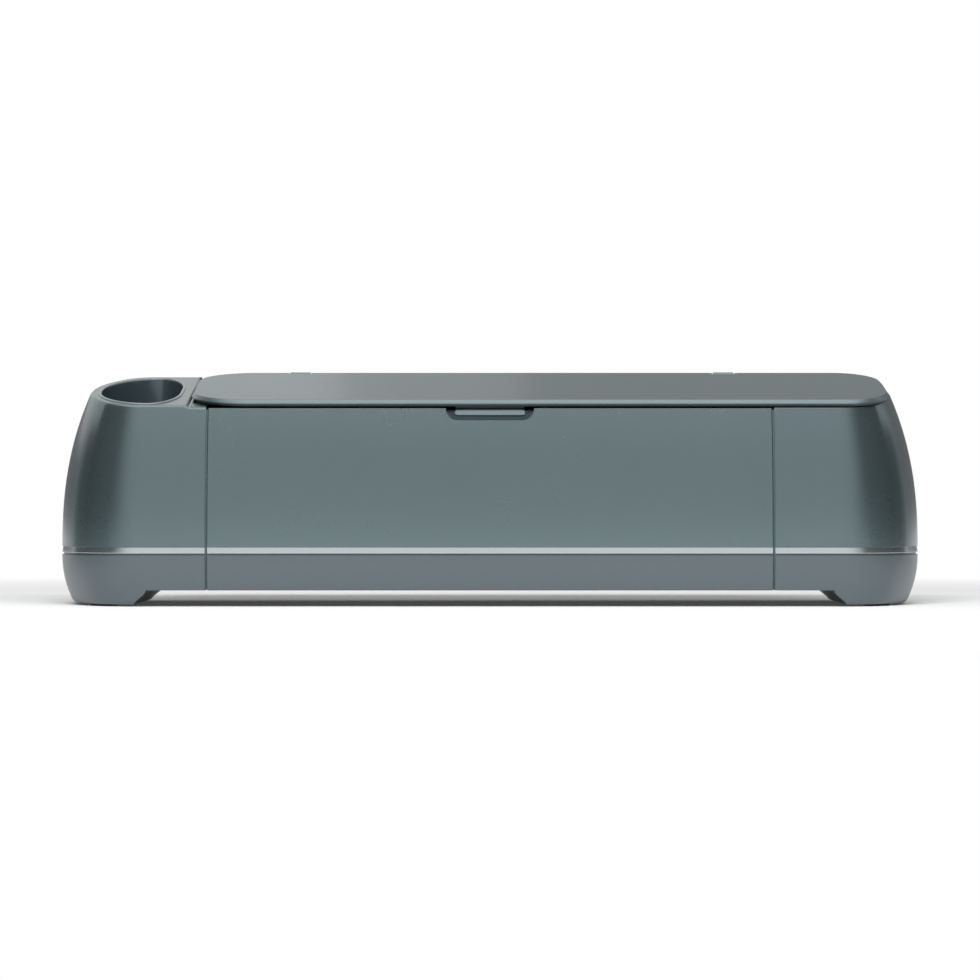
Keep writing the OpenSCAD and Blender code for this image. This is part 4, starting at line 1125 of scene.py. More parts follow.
@dataclass
class Shell:
    """The fixed casing: end covers, back cover, bright band and tool cup."""

    form: CasingForm = FORM
    brink_r: float = 0.0016
    step_x: float = 0.198
    channel_x: float = 0.1965
    rail_y: float = 0.052
    slot_x: float = 0.172
    slot_top: float = 0.046
    band_depth: float = 0.0032
    lip_in: float = 0.0018
    cup_x: float = -0.2335
    cup_y: float = -0.0070
    cup_w: float = 0.053
    cup_l: float = 0.126
    cup_round: tuple[float, float] = (0.019, 0.052)
    cup_oval: tuple[float, float] = (0.036, 0.060)
    cup_floor: float = 0.083
    cup_rim: float = 0.0018
    cup_fillet: float = 0.006
    mat_t: float = 0.0015
    panel_x: float = 0.229
    panel_half: float = 0.02415
    panel_y: tuple[float, float] = (-0.05215, 0.03915)
    panel_r: float = 0.00815
    hinge_xs: tuple[float, float] = (-0.130, 0.160)
    ear_w: float = 0.014
    ear_r: float = 0.0034
    lid_axis: tuple[float, float] = (0.0625, 0.153618)
    port_x: tuple[float, float] = (0.1908, 0.2228)
    port_z: tuple[float, float] = (0.046, 0.072)
    lid_corner: tuple[float, float, float] = (-0.1588, -0.0379, 0.0399)
    shelf_front: float = -0.0732
    shelf_t: float = 0.0012

    def build(self) -> None:
        """Builds every piece of the shell."""
        self.left_cover()
        self.right_cover()
        self.rear_cover()
        self.base()
        self.cup()

    def mouth(self, edge: float) -> list[tuple[float, float]]:
        """The cup's outline grown by edge, oval towards the casing's end."""
        x0, x1 = self.cup_x - self.cup_w / 2 - edge, self.cup_x + self.cup_w / 2 + edge
        y0, y1 = self.cup_y - self.cup_l / 2 - edge, self.cup_y + self.cup_l / 2 + edge
        left = (self.cup_oval[0] + edge, self.cup_oval[1] + edge)
        right = (self.cup_round[0] + edge, self.cup_round[1] + edge)
        return oval_loop((x0, x1, y0, y1), left, right, 20)

    def _side_plate(self, draft: Draft, side: int) -> None:
        """Draws the wall that closes an end cover towards the middle.

        Args:
            draft: the cover's drawing.
            side: -1 for the left cover, 1 for the right.
        """
        f = self.form
        x = side * (f.seam_x + 0.0003)
        place_front, place_back = f.front(x), f.back(x)
        tops = [
            f.on_plane(place, f.inset(0.14) + 0.003, f.roof_drop + 0.001)
            for place in (place_front, place_back)
        ]
        outline = [f.skin(place_front, z, 0.002) for z in spread(f.band_top, tops[0].z, 8)]
        outline += [f.skin(place_back, z, 0.002) for z in reversed(spread(f.band_top, tops[1].z, 8))]
        holes = [
            rounded_loop(-0.008, 0.008, 0.040, 0.0479, 0.002, 3),
            rounded_loop(0.023, 0.045, 0.075, 0.095, 0.001, 3),
            rounded_loop(0.024, 0.044, 0.1015, 0.1115, 0.001, 3),
            rounded_loop(0.005, 0.015, 0.1118, 0.117, 0.0025, 4),
        ]
        ends = []
        for shift in (0.0, side * f.wall):
            loops = [draft.add([(p.x + shift, p.y, p.z) for p in outline])]
            loops += [draft.add([(x + shift, y, z) for y, z in hole]) for hole in holes]
            draft.fill(*loops)
            ends.append(loops)
        for a, b in zip(*ends):
            draft.strip(a, b, closed=True)

    def _cover(
        self,
        name: str,
        side: int,
        columns: list[list[Vector]],
        flat: Callable[[Draft, list[list[int]]], None],
    ) -> bpy.types.Object:
        """Finishes one end cover from its wall columns.

        Args:
            name: the piece's name.
            side: -1 for the left cover, 1 for the right.
            columns: the wall, one column of points for each place.
            flat: draws the top inside the wall.

        Returns:
            The cover.
        """
        draft = Draft()
        rows = draft.grid(columns)
        flat(draft, rows)
        centre = (side * 0.225, 0.0, 0.06)
        cover = finished(name, draft.mesh(name, centre), Edges(wall=0.0016, bevel=0.0003))
        plate = Draft()
        self._side_plate(plate, side)
        wall = finished(name + "_inner_wall", plate.mesh(name + "_inner_wall"), Edges(bevel=0.0003))
        fit(wall, Coat.LINER, "casing", "inner_grey")
        return cover

    def left_cover(self) -> None:
        """Builds the cover of the left end, with its deck and the hole for the cup."""
        f = self.form
        ledge = self.step_x + 0.0018
        xs = [f.seam_x, f.seam_x + 0.0007, 0.1915, self.channel_x, self.step_x, ledge]
        places = f.round_end(-1, xs + [0.204, 0.212, 0.220])
        drops = [f.rim_drop] * 5 + [f.deck_drop] * (len(places) - 9) + [f.roof_drop] * 4
        columns = [
            f.wall_column(place, f.band_top, drop, self.brink_r) for place, drop in zip(places, drops)
        ]

        def flat(draft: Draft, rows: list[list[int]]) -> None:
            """Draws the deck and the channel beside it."""
            ring = [draft.points[row[-1]] for row in rows]
            shares = spread(0.0, 1.0, 10)

            def across(k: int, x: float, drop: float) -> list[Point]:
                """Points from front to back at the ring's station k."""
                y0, y1 = ring[k].y, ring[-1 - k].y
                return [(x, y, f.plane_z(y, drop)) for y in (y0 + (y1 - y0) * t for t in shares)]

            inner = across(5, -ledge, f.deck_drop)
            deck = ring[5 : len(ring) - 5] + [Vector(p) for p in reversed(inner[1:-1])]
            hole = [(x, y, f.plane_z(y, f.deck_drop)) for x, y in self.mouth(0.0012)]
            draft.fill(draft.add(deck), draft.add(hole))
            draft.grid(
                [
                    inner,
                    across(4, -self.step_x, f.rim_drop),
                    across(3, -self.channel_x, f.rim_drop),
                    across(3, -self.channel_x, f.roof_drop),
                    across(0, -f.seam_x, f.roof_drop),
                ]
            )

        cover = self._cover("left_end_cover", -1, columns, flat)
        fit(cover, Coat.SHELL, "casing", "casing_paint", "left_cover")
        self._corner_deck()

    def _corner_deck(self) -> None:
        """Builds the shelf that fills the deck in front of the lid's rounded corner."""
        f = self.form
        tilt = f.tilt()
        lid_x, lid_y, lid_r = self.lid_corner
        xs = spread(0.0002 - self.channel_x, -f.seam_x - 0.0004, 8)
        curve = [(x, lid_y - math.sqrt(lid_r * lid_r - (x - lid_x) ** 2)) for x in xs]
        outline = [(xs[-1], self.shelf_front), (xs[0], self.shelf_front)] + curve
        level = -f.rim_drop * math.cos(f.slope)
        draft = Draft()
        draft.plate(
            *([tilt @ Vector((x, y, z)) for x, y in outline] for z in (level, level - self.shelf_t))
        )
        drawn(draft, "corner_deck", Edges(bevel=0.0002), Coat.SHELL, "casing", "casing_paint")

    def right_cover(self) -> None:
        """Builds the cover of the right end, whose top carries the buttons under the lid."""
        f = self.form
        places = f.round_end(1, [f.seam_x, f.seam_x + 0.0007] + spread(*self.port_x, 4))
        columns = []
        for place in places:
            drop = f.rim_drop if f.brink(place, f.rim_drop).y < self.lid_axis[0] - 0.008 else f.roof_drop
            column = f.wall_column(place, f.band_top, drop, 0.0008, self.port_z)
            edge = f.inset(f.brink(place, drop).z)
            column.append(f.on_plane(place, edge + f.wall, drop))
            column.append(f.on_plane(place, edge + f.wall, f.roof_drop))
            column.append(f.on_plane(place, edge + f.wall + SUPPORT, f.roof_drop))
            columns.append(column)

        def flat(draft: Draft, rows: list[list[int]]) -> None:
            """Draws the roof with the button panel's opening."""
            tilt = f.tilt()
            x0, x1 = self.panel_x - self.panel_half, self.panel_x + self.panel_half
            loop = rounded_loop(x0, x1, *self.panel_y, self.panel_r)
            hole = [tilt @ Vector((x, y, -f.roof_drop)) for x, y in loop]
            draft.fill([row[-1] for row in rows], draft.add(hole))
            draft.faces = [face for face in draft.faces if not self._in_port(draft, face)]

        cover = self._cover("right_end_cover", 1, columns, flat)
        fit(cover, Coat.SHELL, "casing", "casing_paint", "right_cover")

    def _in_port(self, draft: Draft, face: Sequence[int]) -> bool:
        """Whether a wall face lies in the opening for the rear ports."""
        x, y, z = sum((draft.points[i] for i in face), Vector()) / len(face)
        return y > 0.08 and self.port_x[0] < x < self.port_x[1] and self.port_z[0] < z < self.port_z[1]

    def rear_cover(self) -> None:
        """Builds the back cover with the mat slot and the lid's hinge ears."""
        f = self.form
        half = f.seam_x
        sides = spread(self.slot_x, half, 2)
        xs = [-x for x in reversed(sides)] + spread(-self.slot_x, self.slot_x, 24) + sides
        columns = []
        for i, x in enumerate(xs):
            low = self.slot_top if 2 < i < len(xs) - 3 else f.band_top
            place = f.back(-x)
            column = f.wall_column(place, low, f.roof_drop, 0.0012)
            column.append(Vector((-x, self.rail_y, f.plane_z(self.rail_y, f.roof_drop))))
            columns.append(column)
        draft = Draft()
        draft.grid(columns)
        cover = finished("back_cover", draft.mesh("back_cover", (0.0, 0.0, 0.08)), Edges(wall=0.0024))
        fit(cover, Coat.SHELL, "casing", "casing_paint", "rear_cover")
        ears = Draft()
        y, z = self.lid_axis
        for x in self.hinge_xs:
            arc = [
                (x - self.ear_w / 2, y + self.ear_r * math.cos(a), z + self.ear_r * math.sin(a))
                for a in spread(-0.3, math.pi + 0.3, 16)
            ]
            foot = [(x - self.ear_w / 2, y + side * 0.0024, z - 0.0075) for side in (-1, 1)]
            ears.prism(arc + foot, (self.ear_w, 0, 0))
        drawn(ears, "lid_hinge_ears", Edges(), Coat.SHELL, "casing", "casing_paint")

    def base(self) -> None:
        """Builds the seams' lips, the bright band round the fixed part and the base pan's shell."""
        f = self.form
        self._seam_lips()
        runs = []
        for side in (-1, 1):
            xs = spread(f.seam_x, f.corner_x - 0.004, 4)
            places = f.round_end(side, xs)
            behind = [f.back(side * x) for x in spread(xs[-1], self.slot_x, 6)]
            runs.append(places[: len(places) - 5] + behind)
        band("waist_trim", "casing", runs, self.band_depth, "waist_band")
        pan = refined("base_pan", "base_shell", Edges(bevel=0.0003, smooth_angle=28), f.eased)
        fit(pan, Coat.STRIP, "casing", "casing_paint", "base_pan")

    def _seam_lips(self) -> None:
        """Builds the lips behind the two seams, above and below the groove."""
        f = self.form
        draft = Draft()
        for side in (-1, 1):
            for z0, z1 in ((f.belly_z + 0.001, f.groove_z), (f.groove_z, f.roof_z - 0.001)):
                heights = spread(z0, z1, 20)
                loop = [(f.inset(z) + self.lip_in, z) for z in heights]
                loop += [(f.inset(z) + self.lip_in + 0.001, z) for z in reversed(heights)]
                draft.plate(
                    *(
                        [f.at(f.front(side * x), inset, z) for inset, z in loop]
                        for x in (f.seam_x - 0.0012, f.seam_x + 0.002)
                    )
                )
        drawn(draft, "seam_lips", Edges(bevel=0.0), Coat.SEAM, "casing", "inner_grey")

    def cup(self) -> None:
        """Builds the tool cup."""
        self._cup_rim()
        self._cup_pocket()
        self._cup_mat()

    def _cup_rim(self) -> None:
        """Builds the rim that lies on the deck and turns down into the cup; its pale grey is a painted
        highlight along the lip.
        """
        f = self.form
        wide = self.cup_rim
        profile = [(wide, 0.0), (wide, 0.0004), (wide - 0.0003, 0.0008)]
        profile += [(0.0003, 0.0008), (0.0, 0.0005), (0.0, -0.003)]
        draft = Draft()
        rows = draft.grid(
            [
                [(x, y, f.plane_z(y, f.deck_drop) + up) for x, y in self.mouth(edge)]
                for edge, up in profile
            ],
            closed=True,
        )
        draft.strip(rows[-1], rows[0], closed=True)
        drawn(
            draft, "cup_rim", Edges(bevel=0.0, smooth_angle=60), Coat.RIM_HIGHLIGHT, "casing", "cup_plastic"
        )

    def _cup_pocket(self) -> None:
        """Builds the cup's wall and its floor, with a fillet between them."""
        f = self.form
        fillet, gap = self.cup_fillet, 0.00005
        draft = Draft()
        rows = [[(x, y, f.plane_z(y, f.deck_drop) - 0.0002) for x, y in self.mouth(-gap)]]
        for z in (0.125, 0.110, 0.098):
            rows.append([(x, y, z) for x, y in self.mouth(-gap)])
        for a in spread(0.0, math.pi / 2, 8):
            inward, up = fillet * (1 - math.cos(a)), fillet * (1 - math.sin(a))
            rows.append([(x, y, self.cup_floor + up) for x, y in self.mouth(-inward - gap)])
        rows.append([(x, y, self.cup_floor) for x, y in self.mouth(-fillet - 0.0004)])
        draft.cap(draft.grid(rows, closed=True)[-1])
        mesh = draft.mesh("cup_pocket", (self.cup_x, self.cup_y, 0.13))
        mesh.flip_normals()
        pocket = finished("cup_pocket", mesh, Edges(wall=0.0014, bevel=0.0, smooth_angle=40))
        fit(pocket, Coat.CUP, "casing", "cup_plastic", "tool_cup")

    def _cup_mat(self) -> None:
        """Builds the rubber mat on the cup's floor."""
        draft = Draft()
        steps = [(0.0, 0.0), (0.0, self.mat_t - 0.0004), (0.0004, self.mat_t)]
        rows = draft.grid(
            [
                [(x, y, self.cup_floor + up) for x, y in self.mouth(-self.cup_fillet - 0.0006 - edge)]
                for edge, up in steps
            ],
            closed=True,
        )
        draft.fill(rows[0])
        draft.fill(rows[-1])
        drawn(draft, "cup_mat", Edges(bevel=0.0), Coat.RUBBER, "casing", "soft_rubber", "cup_liner")


@dataclass
class Lid:
    """The lid panel with its rolled rear edge, and the liner with the finger lip."""

    form: CasingForm = FORM
    left: float = -0.1978
    right: float = 0.2655
    front: float = -0.076
    back: float = 0.0655
    corner_r: float = 0.039
    right_oval: tuple[float, float] = (0.031, 0.045)
    thick: float = 0.0032
    chamfer: float = 0.0023
    shade_skirt_h: float = 0.0012
    roll_r: float = 0.003
    axis: tuple[float, float] = (0.0625, 0.153618)
    hinge_xs: tuple[float, float] = (-0.130, 0.160)
    ear_half: float = 0.0074
    notch_y: float = 0.0583
    lip_half: float = 0.0232
    lip_z: tuple[float, float] = (0.1254, 0.1291)
    lip_y: tuple[float, float] = (-0.0708, -0.0662)

    def outline(self, edge: float) -> list[tuple[float, float]]:
        """The lid's outline in its sloping frame, with room for the hinge ears.

        Args:
            edge: how far it is drawn in.

        Returns:
            The outline.
        """
        stretch = 1 / math.cos(self.form.slope)
        sides = (self.left, self.right, self.front * stretch, self.back * stretch)
        loop = oval_loop(sides, (self.corner_r, self.corner_r), self.right_oval, 20)
        back, deep = self.back * stretch, self.notch_y * stretch
        notches = []
        for x in sorted(self.hinge_xs, reverse=True):
            x0, x1 = x - self.ear_half, x + self.ear_half
            notches += [(x1, back), (x1, deep), (x0, deep), (x0, back)]
        return drawn_in(loop[:21] + notches + loop[21:], edge)

    def build(self) -> None:
        """Builds the panel, the dark band of painted gap shade under its edge, the liner and the finger
        lip.
        """
        self._panel()
        self._skirt()
        # The lid liner's darkened grey is painted shade for the gap under the lid.
        liner = refined("lid_liner", "lid_underside", Edges(bevel=0.0005), self.form.eased)
        fit(liner, Coat.SHADED_LINER, "lid", "inner_grey", "lid_liner")
        self._finger_lip()

    def _rings(self, profile: Sequence[tuple[float, float]]) -> list[list[Vector]]:
        """Rings round the lid.

        Args:
            profile: how far each ring is drawn in, and its height above the lid's top.

        Returns:
            The rings' points.
        """
        tilt = self.form.tilt()
        return [[tilt @ Vector((x, y, up)) for x, y in self.outline(edge)] for edge, up in profile]

    def _panel(self) -> None:
        """Builds the panel with its bevelled edge and the roll along its rear edge."""
        cut = self.chamfer
        profile = [(0.0012, -self.thick), (0.0006, -self.thick), (0.0, -self.thick + 0.0005)]
        profile += [(0.0, -cut - 0.0002), (0.0001, -cut + 0.0001), (0.0003, -cut + 0.0003)]
        profile += [(cut - 0.0004, -0.0003), (cut - 0.0001, -0.0001)]
        profile += [(cut + 0.0003, 0.0), (cut + 0.0010, 0.0)]
        draft = Draft()
        rows = draft.grid(self._rings(profile), closed=True)
        draft.fill(rows[-1])
        draft.fill(rows[0])
        y, z = self.axis
        ears = [x + side * self.ear_half for x in self.hinge_xs for side in (-1, 1)]
        ends = [self.left + self.corner_r] + ears + [self.right - self.right_oval[0]]
        for x0, x1 in zip(ends[::2], ends[1::2]):
            ring = [
                (x0, y + self.roll_r * math.cos(a), z + self.roll_r * math.sin(a))
                for a in spread(0.0, 2 * math.pi, 32)[:-1]
            ]
            draft.prism(ring, (x1 - x0, 0, 0))
        edges = Edges(bevel=0.0, smooth_angle=35)
        drawn(draft, "lid_top", edges, Coat.LID, "lid", "lid_paint", "lid_panel")

    def _skirt(self) -> None:
        """Builds the dark band under the panel's edge: painted shade for the gap beneath the lid."""
        high, deep = 0.0002 - self.thick, -self.thick - self.shade_skirt_h
        profile = [(0.0010, high), (0.0010, deep + 0.0003), (0.0013, deep), (0.0030, deep), (0.0030, high)]
        draft = Draft()
        rows = draft.grid(self._rings(profile), closed=True)
        draft.strip(rows[-1], rows[0], closed=True)
        drawn(draft, "lid_skirt", Edges(bevel=0.0, smooth_angle=35), Coat.DARK_AND_GAP_SHADE, "lid", "inner_dark")

    def _finger_lip(self) -> None:
        """Builds the lip that a finger lifts."""
        half, (low, high), (y0, y1) = self.lip_half, self.lip_z, self.lip_y
        loop = rounded_loop(-half, half, low, high, (high - low) * 0.48, 6)
        draft = Draft()
        draft.prism([(x, y0, z) for x, z in loop], (0.0, y1 - y0, 0.0))
        drawn(draft, "finger_lip", Edges(bevel=0.0004), Coat.LIP, "lid", "inner_grey")


@dataclass
class Door:
    """The fold-down door: panel, bright band, skirt and liner with its trays."""

    form: CasingForm = FORM
    half: float = 0.1846
    top: float = 0.130
    skin: float = 0.0024
    notch_half: float = 0.029
    notch_floor: float = 0.1220
    notch_round: float = 0.0085
    pocket_in: float = 0.0060
    hinge_y: float = -0.074
    hinge_z: float = 0.021
    knuckle_r: float = 0.006
    knuckle_w: float = 0.010
    knuckle_y: float = -0.0866
    band_depth: float = 0.003

    def notch_z(self, x: float) -> float:
        """Height of the door's top edge at x, lower in the finger notch."""
        run = self.notch_half - abs(x)
        if run <= 0:
            return self.top
        t = min(1.0, run / self.notch_round)
        return self.top - (self.top - self.notch_floor) * (1 - (1 - t) ** 2.6) ** (1 / 2.0)

    def build(self) -> None:
        """Builds every piece of the door."""
        f = self.form
        self._panel()
        self._pocket()
        run = [f.front(x) for x in spread(-self.half, self.half, 12)]
        band("door_trim", "door", [run], self.band_depth, "door_band")
        self._lower_strip()
        # The door liner shares the darkened liner grey that paints the gap shade.
        liner = refined("door_liner", "door_tray_liner", Edges(bevel=0.0005))
        fit(liner, Coat.SHADED_LINER, "door", "inner_grey", "door_liner")

    def _panel(self) -> None:
        """Builds the front panel with its finger notch."""
        f = self.form
        side = self.notch_half
        xs = [-self.half] + spread(0.0007 - self.half, -side - 0.002, 10)
        xs += spread(-side, -side + 0.009, 18) + spread(-side + 0.011, side - 0.011, 8)
        xs += spread(side - 0.009, side, 18)
        xs += spread(side + 0.002, self.half - 0.0007, 10) + [self.half]
        columns = []
        for x in xs:
            place = f.front(x)
            low = [f.skin(place, z) for z in spread(f.band_top, 0.115, 26)]
            high = [f.skin(place, z) for z in spread(0.115, self.notch_z(x), 8)[1:]]
            columns.append(low + high)
        draft = Draft()
        draft.grid(columns)
        mesh = draft.mesh("door_front", (0, 0, 0.08))
        panel = finished("door_front", mesh, Edges(wall=self.skin, bevel=0.0005, segments=3))
        fit(panel, Coat.SHELL, "door", "casing_paint", "door_panel")

    def _bar(
        self, draft: Draft, profile: Sequence[tuple[float, float]], half: float, steps: int
    ) -> None:
        """Draws a bar along the front.

        Args:
            draft: the drawing.
            profile: the bar's section, as insets and heights.
            half: half its length.
            steps: how many steps it takes.
        """
        f = self.form
        xs = spread(-half, half, steps)
        sweep(draft, [[f.at(f.front(x), inset, z) for inset, z in profile] for x in xs])

    def _pocket(self) -> None:
        """Builds the pocket behind the finger notch."""
        f = self.form
        lower, upper = self.notch_floor - 0.004, self.top - 0.0012
        inner = f.inset(upper) + self.pocket_in
        front = f.inset(lower) + self.skin + 0.0004
        profile = [
            (front, lower),
            (front + 0.0012, lower + 0.0022),
            (inner, lower + 0.0030),
            (inner + 0.0006, upper),
            (inner + 0.0018, upper),
            (inner + 0.0014, lower),
        ]
        draft = Draft()
        self._bar(draft, profile, self.notch_half - 0.001, 12)
        drawn(draft, "finger_pocket", Edges(bevel=0.0002), Coat.POCKET, "door", "inner_grey")

    def _lower_strip(self) -> None:
        """Builds the strip under the band, with the hinge's knuckles."""
        f = self.form
        belly, skin = f.inset(f.belly_z), self.skin
        heights = spread(f.belly_z + 0.0008, f.groove_z, 12)
        profile = [(belly + 0.0008, f.belly_z)]
        profile += [(f.inset(f.belly_z + 0.0004) + 0.0002, f.belly_z + 0.0003)]
        profile += [(f.inset(z), z) for z in heights]
        profile += [(f.inset(z) + skin, z) for z in reversed(heights)]
        profile += [(belly + skin, f.belly_z)]
        draft = Draft()
        self._bar(draft, profile, self.half, 16)
        r, axis_y, axis_z = self.knuckle_r, self.hinge_y, self.hinge_z
        for sign in (-1, 1):
            x = sign * (self.half - self.knuckle_w / 2) - self.knuckle_w / 2
            arc = [
                (x, axis_y + r * math.cos(a), axis_z + r * math.sin(a))
                for a in spread(-math.pi / 2, math.pi / 2, 14)
            ]
            arc += [(x, self.knuckle_y, axis_z + r), (x, self.knuckle_y, axis_z - r)]
            draft.prism(arc, (self.knuckle_w, 0, 0))
        edges = Edges(bevel=0.0, smooth_angle=35)
        drawn(draft, "door_lower_strip", edges, Coat.STRIP, "door", "casing_paint", "door_skirt")


@dataclass
class Hardware:
    """Screws, feet and belt teeth, each a shape that repeats."""

    base_screw: Point = (0.251, 0.020, 0.0068)
    base_head_r: float = 0.0034
    frame_screws: tuple[Point, ...] = ((0.194, 0.034, 0.060), (0.194, 0.034, 0.070))
    frame_head_r: float = 0.0030
    foot: Point = (0.255, 0.053, 0.0)
    foot_r: float = 0.009
    foot_h: float = 0.0027
    belt_x: tuple[float, float] = (-0.170, 0.216)
    belt_y: float = 0.034
    belt_z: float = 0.1065
    belt_in_r: float = 0.0064
    tooth_pitch: float = 0.002
    tooth_h: float = 0.00035

    def build(self) -> None:
        """Builds the repeated pieces."""
        self.screws()
        self.feet()
        self.teeth()

    def screws(self) -> None:
        """Cross-head screws of the base and of the side frames."""
        draft = Draft()
        shank = [(0.5, -1.45), (0.5, -0.58)]
        head = [(1.0, -0.58), (1.0, -0.40), (0.96, -0.24), (0.85, -0.10), (0.72, -0.02), (0.62, 0.0)]
        rows = draft.turned(shank + head, 20)
        wide, arm, deep = 0.10, 0.42, -0.32
        quarter = [(arm, -wide), (arm, wide), (wide, wide)]
        cross = []
        for k in range(4):
            c, s = round(math.cos(k * math.pi / 2)), round(math.sin(k * math.pi / 2))
            cross += [(x * c - y * s, x * s + y * c) for x, y in quarter]
        top, floor = (draft.add([(x, y, z) for x, y in cross]) for z in (0.0, deep))
        draft.fill(rows[-1], top)
        draft.strip(top, floor, closed=True)
        draft.fill(floor)
        draft.fill(rows[0])
        shape = finished("screw_shape", draft.mesh("screw_shape"), Edges(bevel=0.0, smooth_angle=40))
        spots = four_spots(self.base_screw, self.base_head_r)
        spots += [
            Spot((side * x, y, z), (0.0, side * math.pi / 2, 0.0), self.frame_head_r)
            for side in (-1, 1)
            for x, y, z in self.frame_screws
        ]
        heads = repeated("screw_heads", shape, spots, Coat.SCREW, 2 * math.pi)
        fit(heads, Coat.SCREW, "casing", "screw_steel", "casing_screws")

    def feet(self) -> None:
        """Rubber feet with two grooves round their treads."""
        draft = Draft()
        r, h = self.foot_r, self.foot_h
        profile = [(r - 0.0006, h), (r, h - 0.0004), (r, 0.0006), (r - 0.0006, 0.0)]
        for ring in (0.0062, 0.0034):
            profile += [(ring + 0.0005, 0.0), (ring + 0.0003, 0.0005)]
            profile += [(ring - 0.0003, 0.0005), (ring - 0.0005, 0.0)]
        rows = draft.turned(profile, 36)
        draft.cap(rows[0])
        draft.cap(rows[-1])
        shape = finished("foot_shape", draft.mesh("foot_shape"), Edges(bevel=0.0, smooth_angle=35))
        feet = repeated("foot_treads", shape, four_spots(self.foot), Coat.RUBBER)
        fit(feet, Coat.RUBBER, "casing", "soft_rubber", "rubber_feet")

    def teeth(self) -> None:
        """Teeth along the inside of the belt's two straight runs."""
        draft = Draft()
        base, tip, h, half = 0.00055, 0.00035, self.tooth_h, 0.0027
        outline = [(-base, 0, -half), (base, 0, -half), (tip, h, -half), (-tip, h, -half)]
        draft.prism(outline, (0, 0, 2 * half))
        shape = finished("tooth_shape", draft.mesh("tooth_shape"), Edges(bevel=0.0))
        steps = round((self.belt_x[1] - self.belt_x[0]) / self.tooth_pitch)
        spots = []
        for x in spread(*self.belt_x, steps):
            spots.append(Spot((x, self.belt_y - self.belt_in_r, self.belt_z)))
            spots.append(Spot((x, self.belt_y + self.belt_in_r, self.belt_z), (0.0, 0.0, math.pi)))
        fit(repeated("belt_teeth", shape, spots, Coat.BELT), Coat.BELT, "casing", "belt_rubber")


@dataclass
class Keys:
    """The raised signs on the four keys under the lid."""

    form: CasingForm = FORM
    x: float = 0.229
    drop: float = 0.0064
    proud: float = 0.0001
    sunk: float = 0.0003
    ys: tuple[float, ...] = (-0.038, -0.018, 0.002, 0.024)

    def build(self) -> None:
        """Builds one sign for each key."""
        signs = {"power": self.power(), "load": self.arrows(), "pause": self.bars(), "go": self.triangle()}
        for (key, outlines), y in zip(signs.items(), self.ys):
            self._sign(f"{key}_sign", f"{key}_key", y, outlines)

    def _sign(self, name: str, body: str, y: float, outlines: list[list[tuple[float, float]]]) -> None:
        """Draws a sign's outlines as thin plates on a key.

        Args:
            name: the sign's name.
            body: the key's body.
            y: the key's middle in the sloping frame.
            outlines: the sign's outlines about that middle.
        """
        tilt = self.form.tilt()
        draft = Draft()
        for outline in outlines:
            draft.plate(
                *(
                    [tilt @ Vector((self.x + u, y + v, z)) for u, v in outline]
                    for z in (-self.drop - self.sunk, -self.drop + self.proud)
                )
            )
        drawn(draft, name, Edges(bevel=0.0), Coat.MARK, body, "inner_dark")

    @staticmethod
    def power() -> list[list[tuple[float, float]]]:
        """An open ring with a bar in its gap."""
        turns = spread(math.radians(125), math.radians(415), 28)
        ring = [(0.0030 * math.cos(a), 0.0030 * math.sin(a)) for a in turns]
        ring += [(0.0023 * math.cos(a), 0.0023 * math.sin(a)) for a in reversed(turns)]
        return [ring, [(-0.00035, 0.0008), (0.00035, 0.0008), (0.00035, 0.0036), (-0.00035, 0.0036)]]

    @staticmethod
    def arrows() -> list[list[tuple[float, float]]]:
        """One arrow up and one down."""
        head = [(-0.0024, 0.0009), (0.0024, 0.0009), (0.0, 0.0036)]
        return [head, [(-x, -y) for x, y in head]]

    @staticmethod
    def bars() -> list[list[tuple[float, float]]]:
        """Two upright bars."""
        half, high = 0.0005, 0.0026
        return [
            [(x - half, -high), (x + half, -high), (x + half, high), (x - half, high)]
            for x in (-0.0013, 0.0013)
        ]

    @staticmethod
    def triangle() -> list[list[tuple[float, float]]]:
        """A triangle that points right."""
        return [[(-0.0024, -0.0036), (0.0040, 0.0), (-0.0024, 0.0036)]]


SOFTENED: dict[str, tuple[str, Finish, str, str, float]] = {
    "carriage_body": ("carriage_block", Coat.CARRIAGE, "carriage", "carriage_grey", 0.0007),
    "carriage_cover": ("carriage_hood", Coat.SLIDE, "carriage", "carriage_light", 0.0010),
    "tool_slide_a": ("slide_a", Coat.SLIDE, "tool_a", "slide_grey", 0.0004),
    "tool_slide_b": ("slide_b", Coat.SLIDE, "tool_b", "slide_grey", 0.0004),
    "clamp_lever_a": ("lever_arm_a", Coat.WHITE, "lever_a", "lever_white", 0.0004),
    "clamp_lever_b": ("lever_arm_b", Coat.WHITE, "lever_b", "lever_white", 0.0004),
    "blade_housing": ("blade_barrel", Coat.HOUSING, "tool_b", "housing_metal", 0.0003),
    "mat_guides": ("guide_fences", Coat.DARK_AND_GAP_SHADE, "casing", "inner_dark", 0.0004),
}


def soften_moulded() -> None:
    """Rounds the edges of the moulded pieces inside."""
    for node, (name, finish, body, slot, bevel) in SOFTENED.items():
        fit(refined(node, name, Edges(bevel=bevel, smooth_angle=30)), finish, body, slot, node)


# ---------------------------------------------------------------- studio


